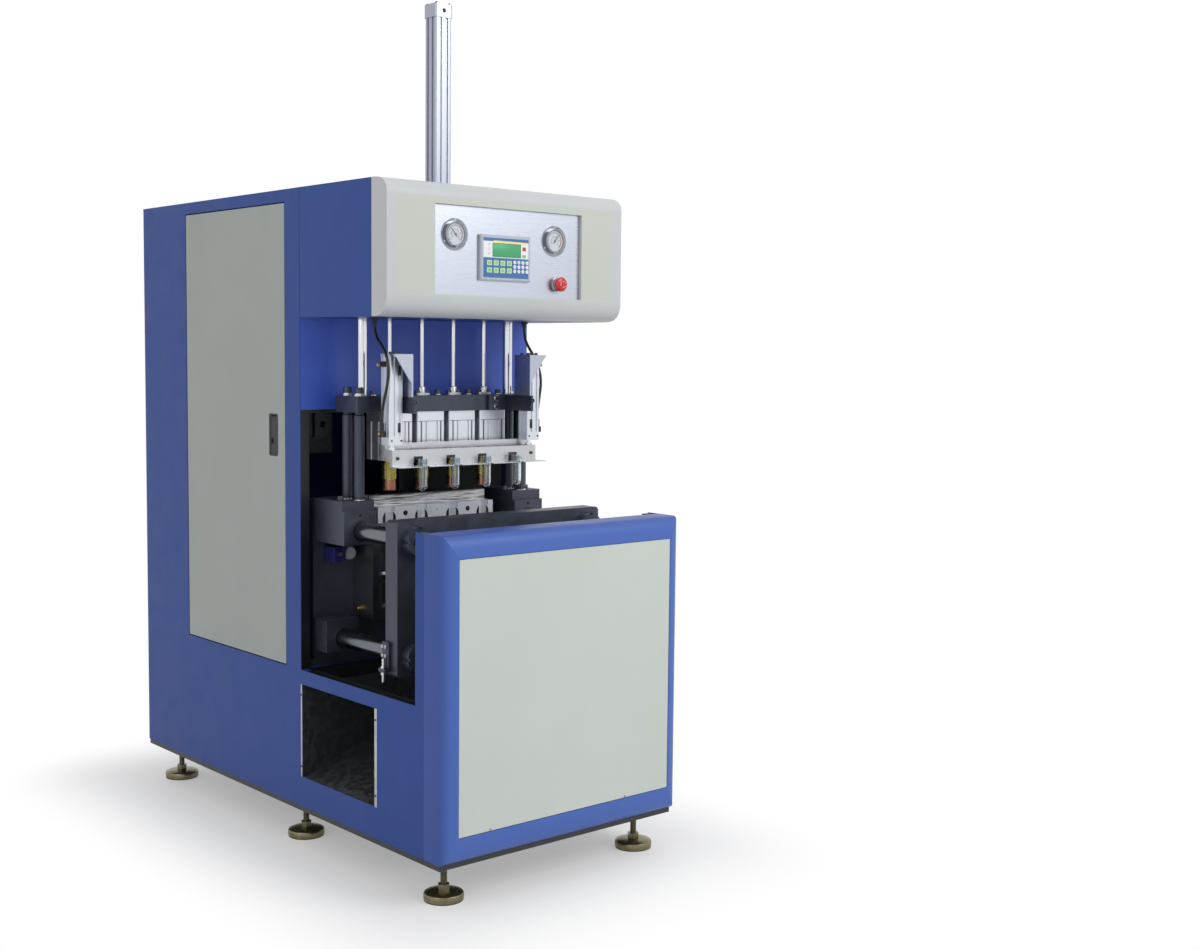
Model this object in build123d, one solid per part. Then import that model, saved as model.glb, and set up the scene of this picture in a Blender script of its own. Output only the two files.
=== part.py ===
from build123d import *
import os
from math import radians, tan

# Semi-automatic stretch blow moulding machine with four cavities.
# Millimetres. X to the right, Y to the rear, Z up, origin on the floor under the middle.

# Body and sheet metal
body_width = 800.0
body_length = 1665.0
sheet = 2.0
sheet_bottom = 120.0
bench_length = 693.0
sill_rise = 8.0
column_width = 39.0
flange = 20.0

# Welded frame
frame_bottom = 105.0
tube = 50.0
post_width = 25.0
floor_plate = 4.0
rail_width = 50.0
rail_depth = 30.0
rail_drop = 43.0
brace_depth = 40.0

# Levelling feet
foot_inset = 70.0
foot_front = 105.0
foot_middle = 93.0
foot_rear = 90.0
pad_diameter = 100.0
pad_rim = 8.0
pad_height = 26.0
pad_neck = 34.0
pad_edge = 3.0
pad_shoulder = 6.0
stud_diameter = 16.0
nut_width = 28.0
nut_height = 15.0

# Side doors
door_front = 83.0
door_rear = 296.0
door_sill = 4.0
door_top_margin = 38.0
door_gap = 3.5
door_depth = 20.0
door_skin = 1.5
hinge_inset = 6.0
hinge_edge = 5.0
hinge_pin = 6.0
hinge_pin_length = 16.0
stop_gap = 2.0
stop_lip = 12.0

# Flush door latch
latch_edge = 43.0
latch_width = 38.0
latch_height = 112.0
latch_rise = 592.0
latch_dish = 16.0
latch_plate = 5.0
latch_gap = 1.0
latch_pin = 6.0
latch_journal = 4.0
scoop_inset = 6.0

# Wall between bench and cabinet
wall_margin = 29.0
wall_opening_rise = 242.0
wall_flange = 15.0

# Rear openings
slot_width = 130.0
slot_height = 7.0
slot_pitch = 18.0
slot_rows = 8
slot_base = 330.0
inlet_height = 220.0
air_inlet = 34.0
power_inlet = 26.0

# Bottle chute
chute_start = 318.0
chute_margin = 7.0
chute_bottom = 205.0
chute_stop = 146.0
chute_end = 48.0

# Lower front cover
cover_depth = 94.0
cover_top = 950.0
cover_bevel = 30.0
panel_margin = 41.0
panel_bottom = 190.0
panel_drop = 60.0
panel_gap = 1.5
panel_depth = 8.0
panel_lip = 15.0

# Head
head_height = 355.0
head_start = 332.0
head_plate = 4.0
head_beam = 12.0
head_beam_overhang = 75.0
head_beam_depth = 100.0
head_bevel_run = 62.0
head_bevel_side = 32.0
head_bevel_top = 42.0
head_bevel_bottom = 55.0
head_cover_depth = 70.0

# Control plate and what it carries
plate_side = 25.5
plate_margin = 60.0
plate_recess = 10.0
plate_lip = 12.0
gauge_drop = 76.0
gauge_left_gap = 36.5
gauge_right_gap = 47.5
gauge_flange = 85.0
gauge_bezel = 70.0
gauge_dial = 60.0
gauge_case = 58.0
gauge_case_depth = 34.0
gauge_stub = 2.0
bezel_depth = 12.0
dial_depth = 4.0
needle_reach = 23.0
needle_tail = 8.0
needle_hub = 7.0
needle_root = 3.2
needle_point = 0.8
needle_thick = 1.0
needle_lift = 1.5
left_lean = -42.0
right_lean = 38.0
screen_x = -18.0
screen_drop = 14.5
screen_width = 170.0
screen_height = 122.0
screen_depth = 11.0
screen_rim = 8.0
screen_edge = 3.0
membrane = 1.2
film_gap = 0.2
key_rise = 0.8
key_width = 17.0
key_height = 14.0
key_columns = 4
key_rows = 2
key_pitch = 22.4
key_lift = 19.6
key_left = 57.0
key_drop = 13.5
round_key = 11.0
round_columns = 4
round_rows = 3
round_pitch = 14.0
round_lift = 12.0
round_left = 29.0
round_drop = 9.6
window_width = 96.0
window_height = 36.0
window_left = 46.0
window_rise = 3.0
stop_offset = 13.0
stop_lift = 40.0
stop_head = 40.0
stop_collar = 32.0
stop_stem = 14.0
stop_stroke = 4.0
stop_head_depth = 14.0
collar_rise = 8.0

# Cavities
cavity_count = 4
cavity_setback = 89.0
bottle_diameter = 70.0
bottle_height = 200.0
bottle_shoulder = 45.0
neck_diameter = 27.0
waist_start = 70.0
waist_length = 30.0
waist_depth = 4.0
ring_seat = 14.0
ring_room = 8.0

# Clamp
clamp_stroke = 150.0
closed_gap = 0.3
mould_side_gap = 51.0
mould_depth = 108.0
mould_height = 275.0
mould_bottom = 640.0
neck_inset = 17.0
neck_depth = 58.0
neck_height = 45.0
front_neck_height = 23.0
lock_inset = 6.0
lock_bar_depth = 22.0
lock_bar_height = 30.0
lock_bar_setback = 34.0
tie_inset = 104.0
tie_drop = 45.0
tie_sink = 10.0
tie_diameter = 50.0
tie_neck = 40.0
tie_nut = 76.0
tie_nut_depth = 30.0
nut_slot = 10.0
platen_inset = 52.0
platen_depth = 55.0
platen_round = 12.0
rear_platen_depth = 40.0
rear_platen_rise = 24.0
block_width = 104.0
block_front = 55.0
block_drop = 38.0
block_tier = 28.0
block_tier_setback = 12.0
low_block_depth = 72.0
crosshead_depth = 50.0
crosshead_overhang = 44.0
crosshead_margin = 40.0
crosshead_waist = 70.0
crosshead_slope = 60.0
cylinder_length = 290.0
cylinder_bore = 160.0
cylinder_wall = 12.0
cylinder_flange = 230.0
cylinder_cap = 28.0
ram_diameter = 90.0
ram_gap = 60.0
piston_depth = 36.0
tie_rod = 18.0

# Blowing station
column_diameter = 30.0
column_inset = 12.0
column_pitch = 60.0
column_neck = 6.0
column_step = 3.0
bar_overhang = 24.0
bar_depth = 110.0
bar_height = 45.0
bar_edge = 3.0
collar_diameter = 46.0
collar_height = 24.0
collar_foot = 8.0
collar_step = 5.0
blow_gap = 15.0
blow_length = 136.0
blow_cap = 28.0
blow_wall = 9.5
blow_piston = 18.0
blow_rod = 32.0
nozzle_upper = 42.0
nozzle_lower = 38.0
nozzle_groove = 34.0
nozzle_drop = 9.0
nozzle_height = 80.0
nozzle_lift = 46.0
nozzle_groove_base = 30.0
nozzle_groove_height = 4.0
nozzle_cone = 12.0
groove_width = 8.0
groove_depth = 3.0
corner_round = 5.0

# Stretching
rod_diameter = 12.0
rod_tip = 8.0
guide_inset = 29.0
guide_diameter = 28.0
stretch_clear = 11.0
crossbar_overhang = 45.0
crossbar_depth = 70.0
crossbar_height = 25.0
crossbar_drop = 55.0
hub_diameter = 60.0
hub_height = 45.0
top_barrel = 54.0
top_bore = 44.0
top_cap = 58.0
top_cap_height = 38.0
top_base_height = 30.0
top_length = 535.0
top_rod = 18.0
top_piston = 20.0
top_port = 12.0
rod_stop = 12.0
rod_stop_height = 14.0

# Preform loader
loader_inset = 16.0
loader_setback = 124.0
loader_size = 45.0
loader_gap = 15.0
loader_length = 240.0
loader_cap = 24.0
loader_bore = 32.0
loader_rod = 12.0
loader_piston = 12.0
loader_clear = 3.0
arm_plate = 8.0
arm_gap = 8.5
arm_nose = 37.0
arm_foot = 62.0
arm_foot_plate = 10.0
bracket_plate = 8.0
bracket_side = 5.0
bracket_nose = 27.0
gusset_drop = 72.0
gusset_thick = 4.0
beam_overhang = 11.0
beam_rise = 126.0
beam_height = 44.0
beam_plate = 12.0
beam_front_setback = 143.0
rail_back_setback = 75.0
rail_back_depth = 24.0
rail_back_height = 47.0
rail_back_rise = 17.0
end_block = 25.0
notch_width = 30.0
notch_height = 26.0
strip_reach = 36.0
strip_thick = 2.0
strip_tail = 12.0
preform_setback = 164.0
preform_body = 24.0
preform_neck = 26.0
preform_ring = 32.0
preform_ring_thick = 2.5
preform_neck_height = 20.0
preform_length = 68.0
preform_wall = 3.0
preform_taper = 10.0

# Air and electrics
hose_diameter = 8.0
hose_front_bow = 34.0
hose_side_bow = 16.0
hose_setback = 60.0
hose_inset = 3.5
elbow_size = 16.0
fitting_barrel = 13.0
fitting_nut = 20.0
fitting_nut_height = 6.0
elbow_reach = 10.0
elbow_rise = 30.0
port_height = 30.0
tank_diameter = 240.0
tank_side = 100.0
tank_setback = 300.0
tank_dome = 55.0
tank_lift = 60.0
saddle_inset = 110.0
saddle_plate = 12.0
board_margin = 120.0
board_rise = 95.0
board_drop = 163.0
board_standoff = 26.0
board_edge = 20.0
standoff_diameter = 14.0
rail_margin = 30.0
mounting_rail = 34.0
mounting_rail_depth = 8.0
unit_margin = 50.0
unit_gap = 12.0
unit_count = 7
unit_base = 60.0
unit_head = 100.0
relay_depth = 60.0
relay_height = 80.0
switch_depth = 70.0
switch_height = 90.0
drive_depth = 95.0
drive_height = 130.0

# Clearances
running_fit = 0.1
free_gap = 0.3
rod_gap = 1.0
head_gap = 214.0

# Places worked out from the sizes, across
half_width = body_width / 2
inner_x = half_width - sheet
foot_x = half_width - foot_inset
hinge_x = half_width - hinge_inset
tie_x = half_width - tie_inset
mould_width = 2 * (tie_x - tie_diameter / 2 - mould_side_gap)
cavity_pitch = mould_width / cavity_count
cavities = [(i - (cavity_count - 1) / 2) * cavity_pitch for i in range(cavity_count)]
neck_width = mould_width - 2 * neck_inset
lock_bar_width = neck_width - 2 * lock_inset
platen_width = 2 * (half_width - platen_inset)
crosshead_width = 2 * (tie_x + crosshead_overhang)
column_x = tie_x - column_inset
bar_width = 2 * (column_x + bar_overhang)
guide_x = column_x - guide_inset
crossbar_width = 2 * (guide_x + crossbar_overhang)
head_beam_width = 2 * (guide_x + head_beam_overhang)
loader_x = guide_x - loader_inset
beam_width = 2 * (loader_x + beam_overhang)
blow_size = cavity_pitch - blow_gap
blow_bore = blow_size - 2 * blow_wall
chute_reach = 2 * inner_x - chute_stop
gauge_left = screen_x - screen_width / 2 - gauge_left_gap - gauge_flange / 2
gauge_right = screen_x + screen_width / 2 + gauge_right_gap + gauge_flange / 2
stop_x = gauge_right + stop_offset
plate_width = 2 * (gauge_flange / 2 + plate_side - gauge_left)
board_width = 2 * (half_width - board_margin)
unit_pitch = (board_width - 2 * unit_margin) / unit_count
arm_x = loader_x - loader_size / 2 - arm_gap

# Places worked out from the sizes, front to rear
front_y = -body_length / 2
rear_y = body_length / 2
cover_back = front_y + cover_depth
column_back = cover_back + column_width
cabinet_y = front_y + bench_length
foot_rows = (front_y + foot_front, cabinet_y + foot_middle, rear_y - foot_rear)
door_y = cabinet_y + door_front
door_length = rear_y - door_rear - door_y
hinge_y = door_y + door_length - hinge_edge
chute_y = front_y + chute_start
chute_width = cabinet_y - chute_margin - chute_y
cavity_y = cabinet_y - cavity_setback
head_y = front_y + head_start
head_front = head_y - head_cover_depth
plate_y = head_front + plate_recess
rear_platen_y = cavity_y + mould_depth
front_mould_back = cavity_y - clamp_stroke - closed_gap
front_platen_back = front_mould_back - mould_depth
front_platen_y = front_platen_back - platen_depth
cylinder_y = rear_platen_y + rear_platen_depth
crosshead_y = cylinder_y + cylinder_length + ram_gap
block_y = cavity_y - block_front
bar_front = cavity_y - bar_depth / 2
loader_y = cavity_y - loader_setback
beam_y = cavity_y - beam_front_setback
preform_y = cavity_y - preform_setback

# Places worked out from the sizes, upwards
frame_top = frame_bottom + tube
mould_top = mould_bottom + mould_height
neck_top = mould_top + neck_height
tie_low = mould_bottom - tie_drop
tie_high = mould_top - tie_sink
clamp_z = (tie_low + tie_high) / 2
platen_bottom = tie_low - block_width / 2
platen_top = tie_high + block_width / 2
rear_platen_top = neck_top + rear_platen_rise
rail_top = platen_bottom - rail_drop
sill_height = rail_top + sill_rise
chute_top = rail_top - rail_depth - sheet
chute_back = chute_top - chute_end
panel_top = cover_top - panel_drop
tier_top = neck_top + block_tier
ring_z = neck_top - ring_seat
nozzle_bottom = neck_top + nozzle_lift
nozzle_top = nozzle_bottom + nozzle_height
blow_bottom = nozzle_top + nozzle_drop
bar_bottom = blow_bottom + blow_length
bar_top = bar_bottom + bar_height
blow_top = bar_bottom - blow_cap
nozzle_stroke = nozzle_bottom - ring_z - preform_neck_height - rod_gap
beam_bottom = neck_top + beam_rise
beam_top = beam_bottom + beam_height
loader_top = beam_top + loader_gap + loader_length
loader_bore_end = loader_top - loader_cap
loader_stroke = beam_bottom - preform_length - platen_top - loader_clear
head_bottom = bar_top + head_gap
body_height = head_bottom + head_height
roof_z = body_height - sheet
wall_opening_top = rear_platen_top + wall_opening_rise
door_bottom = sill_height + door_sill
door_height = body_height - door_top_margin - door_bottom
latch_bottom = door_bottom + latch_rise
latch_axis_z = latch_bottom + latch_height - latch_gap - latch_pin
plate_centre = head_bottom + head_height / 2
plate_height = head_height - 2 * plate_margin
gauge_height = plate_centre + plate_height / 2 - gauge_drop
screen_z = plate_centre - screen_drop
stop_z = plate_centre - plate_height / 2 + stop_lift
crossbar_top = body_height - crossbar_drop
hub_middle = crossbar_top - crossbar_height / 2
stretch_stroke = hub_middle - hub_height / 2 - head_bottom - head_plate - stretch_clear
top_bore_end = body_height + top_length - top_cap_height
board_bottom = tie_high + crosshead_margin + board_rise
board_height = roof_z - board_drop - board_bottom


# Basic forms
def block(x0, x1, y0, y1, z0, z1):
    """Box between two opposite corners."""
    return Pos((x0 + x1) / 2, (y0 + y1) / 2, (z0 + z1) / 2) * Box(x1 - x0, y1 - y0, z1 - z0)


def disc_z(x, y, z0, z1, diameter):
    """Upright round bar from z0 to z1."""
    return Pos(x, y, (z0 + z1) / 2) * Cylinder(diameter / 2, z1 - z0)


def disc_y(x, z, y0, y1, diameter):
    """Round bar along Y from y0 to y1."""
    return Pos(x, (y0 + y1) / 2, z) * Rot(90, 0, 0) * Cylinder(diameter / 2, y1 - y0)


def disc_x(y, z, x0, x1, diameter):
    """Round bar along X from x0 to x1."""
    return Pos((x0 + x1) / 2, y, z) * Rot(0, 90, 0) * Cylinder(diameter / 2, x1 - x0)


def turned(points, x, y):
    """Body turned about an upright axis at x, y from its radius and height points."""
    outline = Plane.XZ * make_face(Polyline(*points, close=True))
    return Pos(x, y, 0) * revolve(outline, axis=Axis.Z)


def turned_front(points, x, z):
    """Body turned about an axis along Y, from its radius and depth points."""
    outline = make_face(Polyline(*points, close=True))
    return Pos(x, 0, z) * revolve(outline, axis=Axis.Y)


def hexagon_z(x, y, z0, z1, width):
    """Upright hexagonal prism of a width across flats."""
    face = Pos(x, y, z0) * RegularPolygon(width / 2, 6, major_radius=False)
    return extrude(face, z1 - z0)


def group(shapes):
    """Several separate solids kept together."""
    return Compound(children=list(shapes))


def both_sides(shape):
    """A shape and its mirror image across the middle plane."""
    return [shape, mirror(shape, about=Plane.YZ)]


def bevel_cut(plane, length, y0, edge, run, rise):
    """Space outside a rounded bevel along one edge; rise is negative at a low edge."""
    out = 1.0 if rise > 0 else -1.0
    face = make_face([
        Bezier((y0 + run, edge), (y0, edge), (y0, edge - rise)),
        Line((y0, edge - rise), (y0 - 1, edge - rise)),
        Line((y0 - 1, edge - rise), (y0 - 1, edge + out)),
        Line((y0 - 1, edge + out), (y0 + run, edge + out)),
        Line((y0 + run, edge + out), (y0 + run, edge)),
    ])
    return extrude(plane * face, length, dir=tuple(plane.z_dir))


def bevelled_block(half, y0, y1, z0, z1, run, side, low, high):
    """Block whose front edges are rounded off, with mitred corners."""
    form = block(-half, half, y0, y1, z0, z1)
    across = Plane.YZ.offset(-half - 1)
    upright = Plane((0, 0, z0 - 1), x_dir=(0, 1, 0), z_dir=(0, 0, 1))
    form -= bevel_cut(across, 2 * half + 2, y0, z1, run, high)
    form -= bevel_cut(across, 2 * half + 2, y0, z0, run, -low)
    form -= bevel_cut(upright, z1 - z0 + 2, y0, half, run, side)
    form -= bevel_cut(upright, z1 - z0 + 2, y0, -half, run, -side)
    return form


def grooved_square(size, z0, z1):
    """Extruded cylinder profile with rounded corners and two grooves on each side."""
    face = RectangleRounded(size, size, corner_round)
    depth = groove_depth
    for turn in range(4):
        for offset in (-size / 5, size / 5):
            slot = Pos(offset, size / 2 - depth / 2) * Rectangle(groove_width, depth)
            face -= Rot(0, 0, 90 * turn) * slot
    return extrude(Pos(0, 0, z0) * face, z1 - z0, dir=(0, 0, 1))


# Frame and feet
def base_frame():
    """Welded tube frame with its floor plate; the tubes are shut, so they are solid."""
    base_front = front_y + cover_bevel
    back = rear_y - sheet
    side = block(inner_x - tube, inner_x, base_front, back, frame_bottom, frame_top)
    frame = side + mirror(side, about=Plane.YZ)
    for y in foot_rows:
        frame += block(-inner_x, inner_x, y - tube / 2, y + tube / 2, frame_bottom, frame_top)
    frame += block(-inner_x, inner_x, base_front, base_front + tube, frame_bottom, frame_top)
    frame += block(-inner_x, inner_x, cabinet_y + sheet, back, frame_top, frame_top + floor_plate)
    hole = stud_diameter + 2 * running_fit
    for x, y in foot_places():
        frame -= disc_z(x, y, frame_bottom, frame_top - sheet, hole)
    return frame


def upper_frame():
    """Uprights welded on the base, with the bed rails, the roof rails and the front brace."""
    back = rear_y - sheet
    cabinet_post = cabinet_y + sheet
    rear_post = back - tube
    post_side = inner_x - post_width
    top_rail = roof_z - post_width
    floor = frame_top + floor_plate
    rail = block(inner_x - rail_width, inner_x, cover_back, back, rail_top - rail_depth, rail_top)
    rail += block(post_side, inner_x, cover_back, column_back - sheet, frame_top, cover_top - sheet)
    rail += block(post_side, inner_x, cabinet_post, cabinet_post + tube, floor, roof_z)
    rail += block(post_side, inner_x, rear_post, back, floor, roof_z)
    rail += block(post_side, inner_x, cabinet_post, back, top_rail, roof_z)
    frame = rail + mirror(rail, about=Plane.YZ)
    for y0 in (cabinet_post, rear_post):
        frame += block(-inner_x, inner_x, y0, y0 + tube, top_rail, roof_z)
    brace_top = cover_top - brace_depth
    brace_back = cover_back + post_width
    return frame + block(-inner_x, inner_x, cover_back, brace_back, brace_top - brace_depth, brace_top)


def foot_places():
    """Centres of the six levelling feet."""
    return [(x, y) for y in foot_rows for x in (-foot_x, foot_x)]


def foot_pad(x, y):
    """Round foot pad with a sloping top and a socket for the stud."""
    rim = pad_diameter / 2
    neck = pad_neck / 2
    slope_top = pad_height - pad_shoulder
    points = [(0, 0), (rim - pad_edge, 0), (rim, pad_edge), (rim, pad_rim)]
    points += [(neck + pad_shoulder, slope_top - sheet), (neck, slope_top)]
    points += [(neck, pad_height), (0, pad_height)]
    return turned(points, x, y)


def foot_stud(x, y):
    """Threaded stud with its adjusting hexagon and the lock nut under the frame."""
    stud = disc_z(x, y, pad_height, frame_top - 2 * sheet, stud_diameter)
    stud += hexagon_z(x, y, pad_height, pad_height + nut_height, nut_width)
    return stud + hexagon_z(x, y, frame_bottom - nut_height, frame_bottom, nut_width)


# Sheet metal covers
def door_opening(x0, x1, grow=0.0):
    """Clear space of the left door opening through a thickness."""
    y0 = door_y - door_gap - grow
    y1 = door_y + door_length + door_gap + grow
    z0 = door_bottom - door_gap - grow
    z1 = door_bottom + door_height + door_gap + grow
    return block(x0, x1, y0, y1, z0, z1)


def side_sheet(with_chute):
    """Left side sheet in three welded pieces: the flat sheet, the door frame and the edge angle."""
    outline = [
        (cover_back, sheet_bottom), (rear_y, sheet_bottom), (rear_y, body_height),
        (cabinet_y, body_height), (cabinet_y, sill_height), (column_back, sill_height),
        (column_back, cover_top), (cover_back, cover_top),
    ]
    face = Plane.YZ.offset(-half_width) * Polygon(*outline, align=None)
    inner = -inner_x
    flat = extrude(face, sheet, dir=(1, 0, 0)) - door_opening(-half_width, inner)
    if with_chute:
        mouth = chute_y + chute_width
        flat -= block(-half_width, inner, chute_y, mouth, chute_bottom, chute_top)
    turned_in = inner + flange
    sill_under = sill_height - sheet
    angle = block(inner, turned_in, column_back, cabinet_y, sill_under, sill_height)
    angle += block(inner, turned_in, column_back - sheet, column_back, sill_under, cover_top - sheet)
    return [flat, door_frame(), angle]


def door_frame():
    """Frame of the left door behind its sheet, with the stop lip and the hinge pins."""
    inner = -inner_x
    deep = inner + door_depth + stop_gap
    frame = door_opening(inner, deep + sheet, grow=sheet) - door_opening(inner, deep + sheet)
    frame += door_opening(deep, deep + sheet) - door_opening(deep, deep + sheet, grow=-stop_lip)
    for z0 in (door_bottom - door_gap, door_bottom + door_height + door_gap - hinge_pin_length):
        frame += disc_z(-hinge_x, hinge_y, z0, z0 + hinge_pin_length, hinge_pin)
    return frame


def front_wall():
    """Wall between bench and cabinet, with the opening that the clamp passes through."""
    y1 = cabinet_y + sheet
    edge = half_width - wall_margin
    wall = block(-inner_x, inner_x, cabinet_y, y1, frame_top, roof_z)
    back = y1 + wall_flange
    frame = block(-edge - sheet, edge + sheet, y1, back, sill_height - sheet, wall_opening_top + sheet)
    wall += frame
    wall -= block(-edge, edge, cabinet_y, back, sill_height, wall_opening_top)
    notch = block(inner_x - rail_width, inner_x, cabinet_y, y1, rail_top - rail_depth, rail_top)
    for cut in both_sides(notch):
        wall -= cut
    return wall


def rear_sheet():
    """Rear panel with cooling slots, and holes for the air and power inlets."""
    y0 = rear_y - sheet
    panel = block(-inner_x, inner_x, y0, rear_y, sheet_bottom, roof_z)
    for x in (-body_width / 4, body_width / 4):
        for row in range(slot_rows):
            z = slot_base + row * slot_pitch
            panel -= block(x - slot_width / 2, x + slot_width / 2, y0, rear_y, z, z + slot_height)
    for x, size in ((-body_width / 4, air_inlet), (body_width / 4, power_inlet)):
        panel -= disc_y(x, inlet_height, y0, rear_y, size)
    return panel


def cabinet_roof():
    """Flat roof sheet with turned down front and rear edges inside the frame."""
    roof = block(-inner_x, inner_x, cabinet_y, rear_y - sheet, roof_z, body_height)
    inside = inner_x - post_width - free_gap
    for y0 in (cabinet_y + sheet + tube, rear_y - 2 * sheet - tube):
        roof += block(-inside, inside, y0, y0 + sheet, roof_z - flange, roof_z)
    return roof


def chute():
    """Sloping box that brings the bottles out on the left."""
    x0 = -inner_x
    x1 = x0 + chute_reach
    top = chute_top
    far = x1 + sheet
    outer = [(x0, chute_bottom - sheet), (far, chute_back - sheet), (far, top), (x0, top)]
    inner = [(x0, chute_bottom), (x1, chute_back), (x1, top), (x0, top)]
    shell = extrude(Plane.XZ * Polygon(*outer, align=None), chute_width + 2 * sheet, dir=(0, 1, 0))
    space = extrude(Plane.XZ * Polygon(*inner, align=None), chute_width, dir=(0, 1, 0))
    return Pos(0, chute_y - sheet, 0) * shell - Pos(0, chute_y, 0) * space


# Doors and latches
def latch_pocket(depth, grow=0.0):
    """Rectangular space of the latch behind the outer face of the left door."""
    y0 = door_y + latch_edge
    z0 = latch_bottom
    y1 = y0 + latch_width
    z1 = z0 + latch_height
    return block(-half_width, -half_width + depth, y0 - grow, y1 + grow, z0 - grow, z1 + grow)


def door():
    """Left door: a folded pan with the latch dish pressed into it and holes for its pivots."""
    y0 = door_y
    y1 = y0 + door_length
    z1 = door_bottom + door_height
    pan = block(-half_width, -half_width + door_depth, y0, y1, door_bottom, z1)
    pan = fillet(pan.edges().filter_by(Axis.Z).group_by(Axis.X)[0], door_skin)
    x0 = -half_width + door_skin
    x1 = -half_width + door_depth
    base = door_bottom + door_skin
    pan -= block(x0, x1, y0 + door_skin, y1 - door_skin, base, z1 - door_skin)
    pan += latch_pocket(latch_dish + door_skin, grow=door_skin)
    pan -= latch_pocket(latch_dish)
    for z in (door_bottom, z1):
        pan -= disc_z(-hinge_x, hinge_y, z - tube, z + tube, hinge_pin + 2 * running_fit)
    pocket = y0 + latch_edge
    far = pocket + latch_width + door_skin
    return pan - disc_y(-half_width + latch_pin, latch_axis_z, pocket - door_skin, far, latch_journal)


def latch():
    """Flush paddle of the left latch, hung on a cross pin at its top, with a finger scoop."""
    y0 = door_y + latch_edge + latch_gap
    y1 = y0 + latch_width - 2 * latch_gap
    z0 = latch_bottom + latch_gap
    outer = -half_width
    axis_x = outer + latch_pin
    paddle = block(outer, outer + latch_plate, y0, y1, z0, latch_axis_z)
    paddle += disc_y(axis_x, latch_axis_z, y0, y1, 2 * latch_pin)
    scoop_x = outer - latch_width / 2
    scoop_size = latch_width + scoop_inset
    paddle -= disc_y(scoop_x, z0 + latch_width, y0 + scoop_inset, y1 - scoop_inset, scoop_size)
    reach = latch_gap + door_skin
    journal = latch_journal - 2 * running_fit
    return paddle + disc_y(axis_x, latch_axis_z, y0 - reach, y1 + reach, journal)


# Lower front cover
def lower_cover():
    """Hollow front cover with rounded edges and a recess for its panel."""
    bevels = [cover_bevel] * 4
    inner_bevels = [cover_bevel - sheet] * 4
    roof = cover_top - sheet
    outer = bevelled_block(half_width, front_y, cover_back, sheet_bottom, cover_top, *bevels)
    inner = bevelled_block(inner_x, front_y + sheet, cover_back, sheet_bottom, roof, *inner_bevels)
    inner += block(-inner_x, inner_x, front_y + cover_bevel, cover_back, sheet_bottom, roof)
    shell = outer - inner
    edge = half_width - panel_margin + panel_gap
    z0 = panel_bottom - panel_gap
    z1 = panel_top + panel_gap
    back = front_y + panel_depth
    frame = block(-edge - sheet, edge + sheet, front_y + sheet, back + sheet, z0 - sheet, z1 + sheet)
    shell += frame
    shell -= block(-edge, edge, front_y, back, z0, z1)
    lip = panel_lip
    shell -= block(-edge + lip, edge - lip, back, back + sheet, z0 + lip, z1 - lip)
    return shell


def cover_panel():
    """Shallow pan that fills the recess of the lower cover."""
    edge = half_width - panel_margin
    y0 = front_y + sheet / 2
    back = front_y + panel_depth
    pan = block(-edge, edge, y0, back, panel_bottom, panel_top)
    inside = block(-edge + sheet, edge - sheet, y0 + sheet, back, panel_bottom + sheet, panel_top - sheet)
    return pan - inside


# Head
def head_housing():
    """Box of the head: sides, roof and floor of sheet, with the beam that holds the guide rods."""
    y0 = head_y
    y1 = cabinet_y
    box = block(-half_width, half_width, y0, y1, head_bottom, body_height)
    box -= block(-inner_x, inner_x, y0, y1, head_bottom + head_plate, roof_z)
    beam_half = head_beam_width / 2
    beam_reach = head_beam_depth / 2
    beam_under = roof_z - head_beam
    box += block(-beam_half, beam_half, cavity_y - beam_reach, cavity_y + beam_reach, beam_under, roof_z)
    box -= disc_z(0, cavity_y, beam_under, body_height, top_rod + 2 * rod_gap)
    for x in cavities:
        box -= disc_z(x, cavity_y, head_bottom, head_bottom + head_plate, rod_diameter + 4 * rod_gap)
    for x in (-guide_x, guide_x):
        box -= disc_z(x, cavity_y, head_bottom, head_bottom + head_plate, guide_diameter)
    return box


def head_cover():
    """Moulded front cover of the head with rounded edges and the control plate's recess."""
    sizes = (head_bevel_run, head_bevel_side, head_bevel_bottom, head_bevel_top)
    outer = bevelled_block(half_width, head_front, head_y, head_bottom, body_height, *sizes)
    inner_sizes = [size - sheet for size in sizes]
    inner = bevelled_block(inner_x, head_front + sheet, head_y, head_bottom + sheet, roof_z, *inner_sizes)
    shell = outer - inner
    half = plate_width / 2 + free_gap
    z0 = plate_centre - plate_height / 2 - free_gap
    z1 = plate_centre + plate_height / 2 + free_gap
    back = plate_y + 2 * sheet
    shell += block(-half - sheet, half + sheet, head_front + sheet, back, z0 - sheet, z1 + sheet)
    shell -= block(-half, half, head_front, plate_y + sheet, z0, z1)
    lip = plate_lip
    shell -= block(-half + lip, half - lip, plate_y + sheet, back, z0 + lip, z1 - lip)
    return shell


def control_plate():
    """Plate that carries the gauges, the control panel and the stop button."""
    z0 = plate_centre - plate_height / 2
    plate = block(-plate_width / 2, plate_width / 2, plate_y, plate_y + sheet, z0, z0 + plate_height)
    for x in (gauge_left, gauge_right):
        plate -= disc_y(x, gauge_height, plate_y, plate_y + sheet, gauge_case + 2 * free_gap)
    plate -= disc_y(stop_x, stop_z, plate_y, plate_y + sheet, stop_stem + 2 * sheet + 2 * free_gap)
    half = screen_width / 2 - screen_rim
    high = screen_height / 2 - screen_rim
    x0 = screen_x - half
    x1 = screen_x + half
    return plate - block(x0, x1, plate_y, plate_y + sheet, screen_z - high, screen_z + high)


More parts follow.
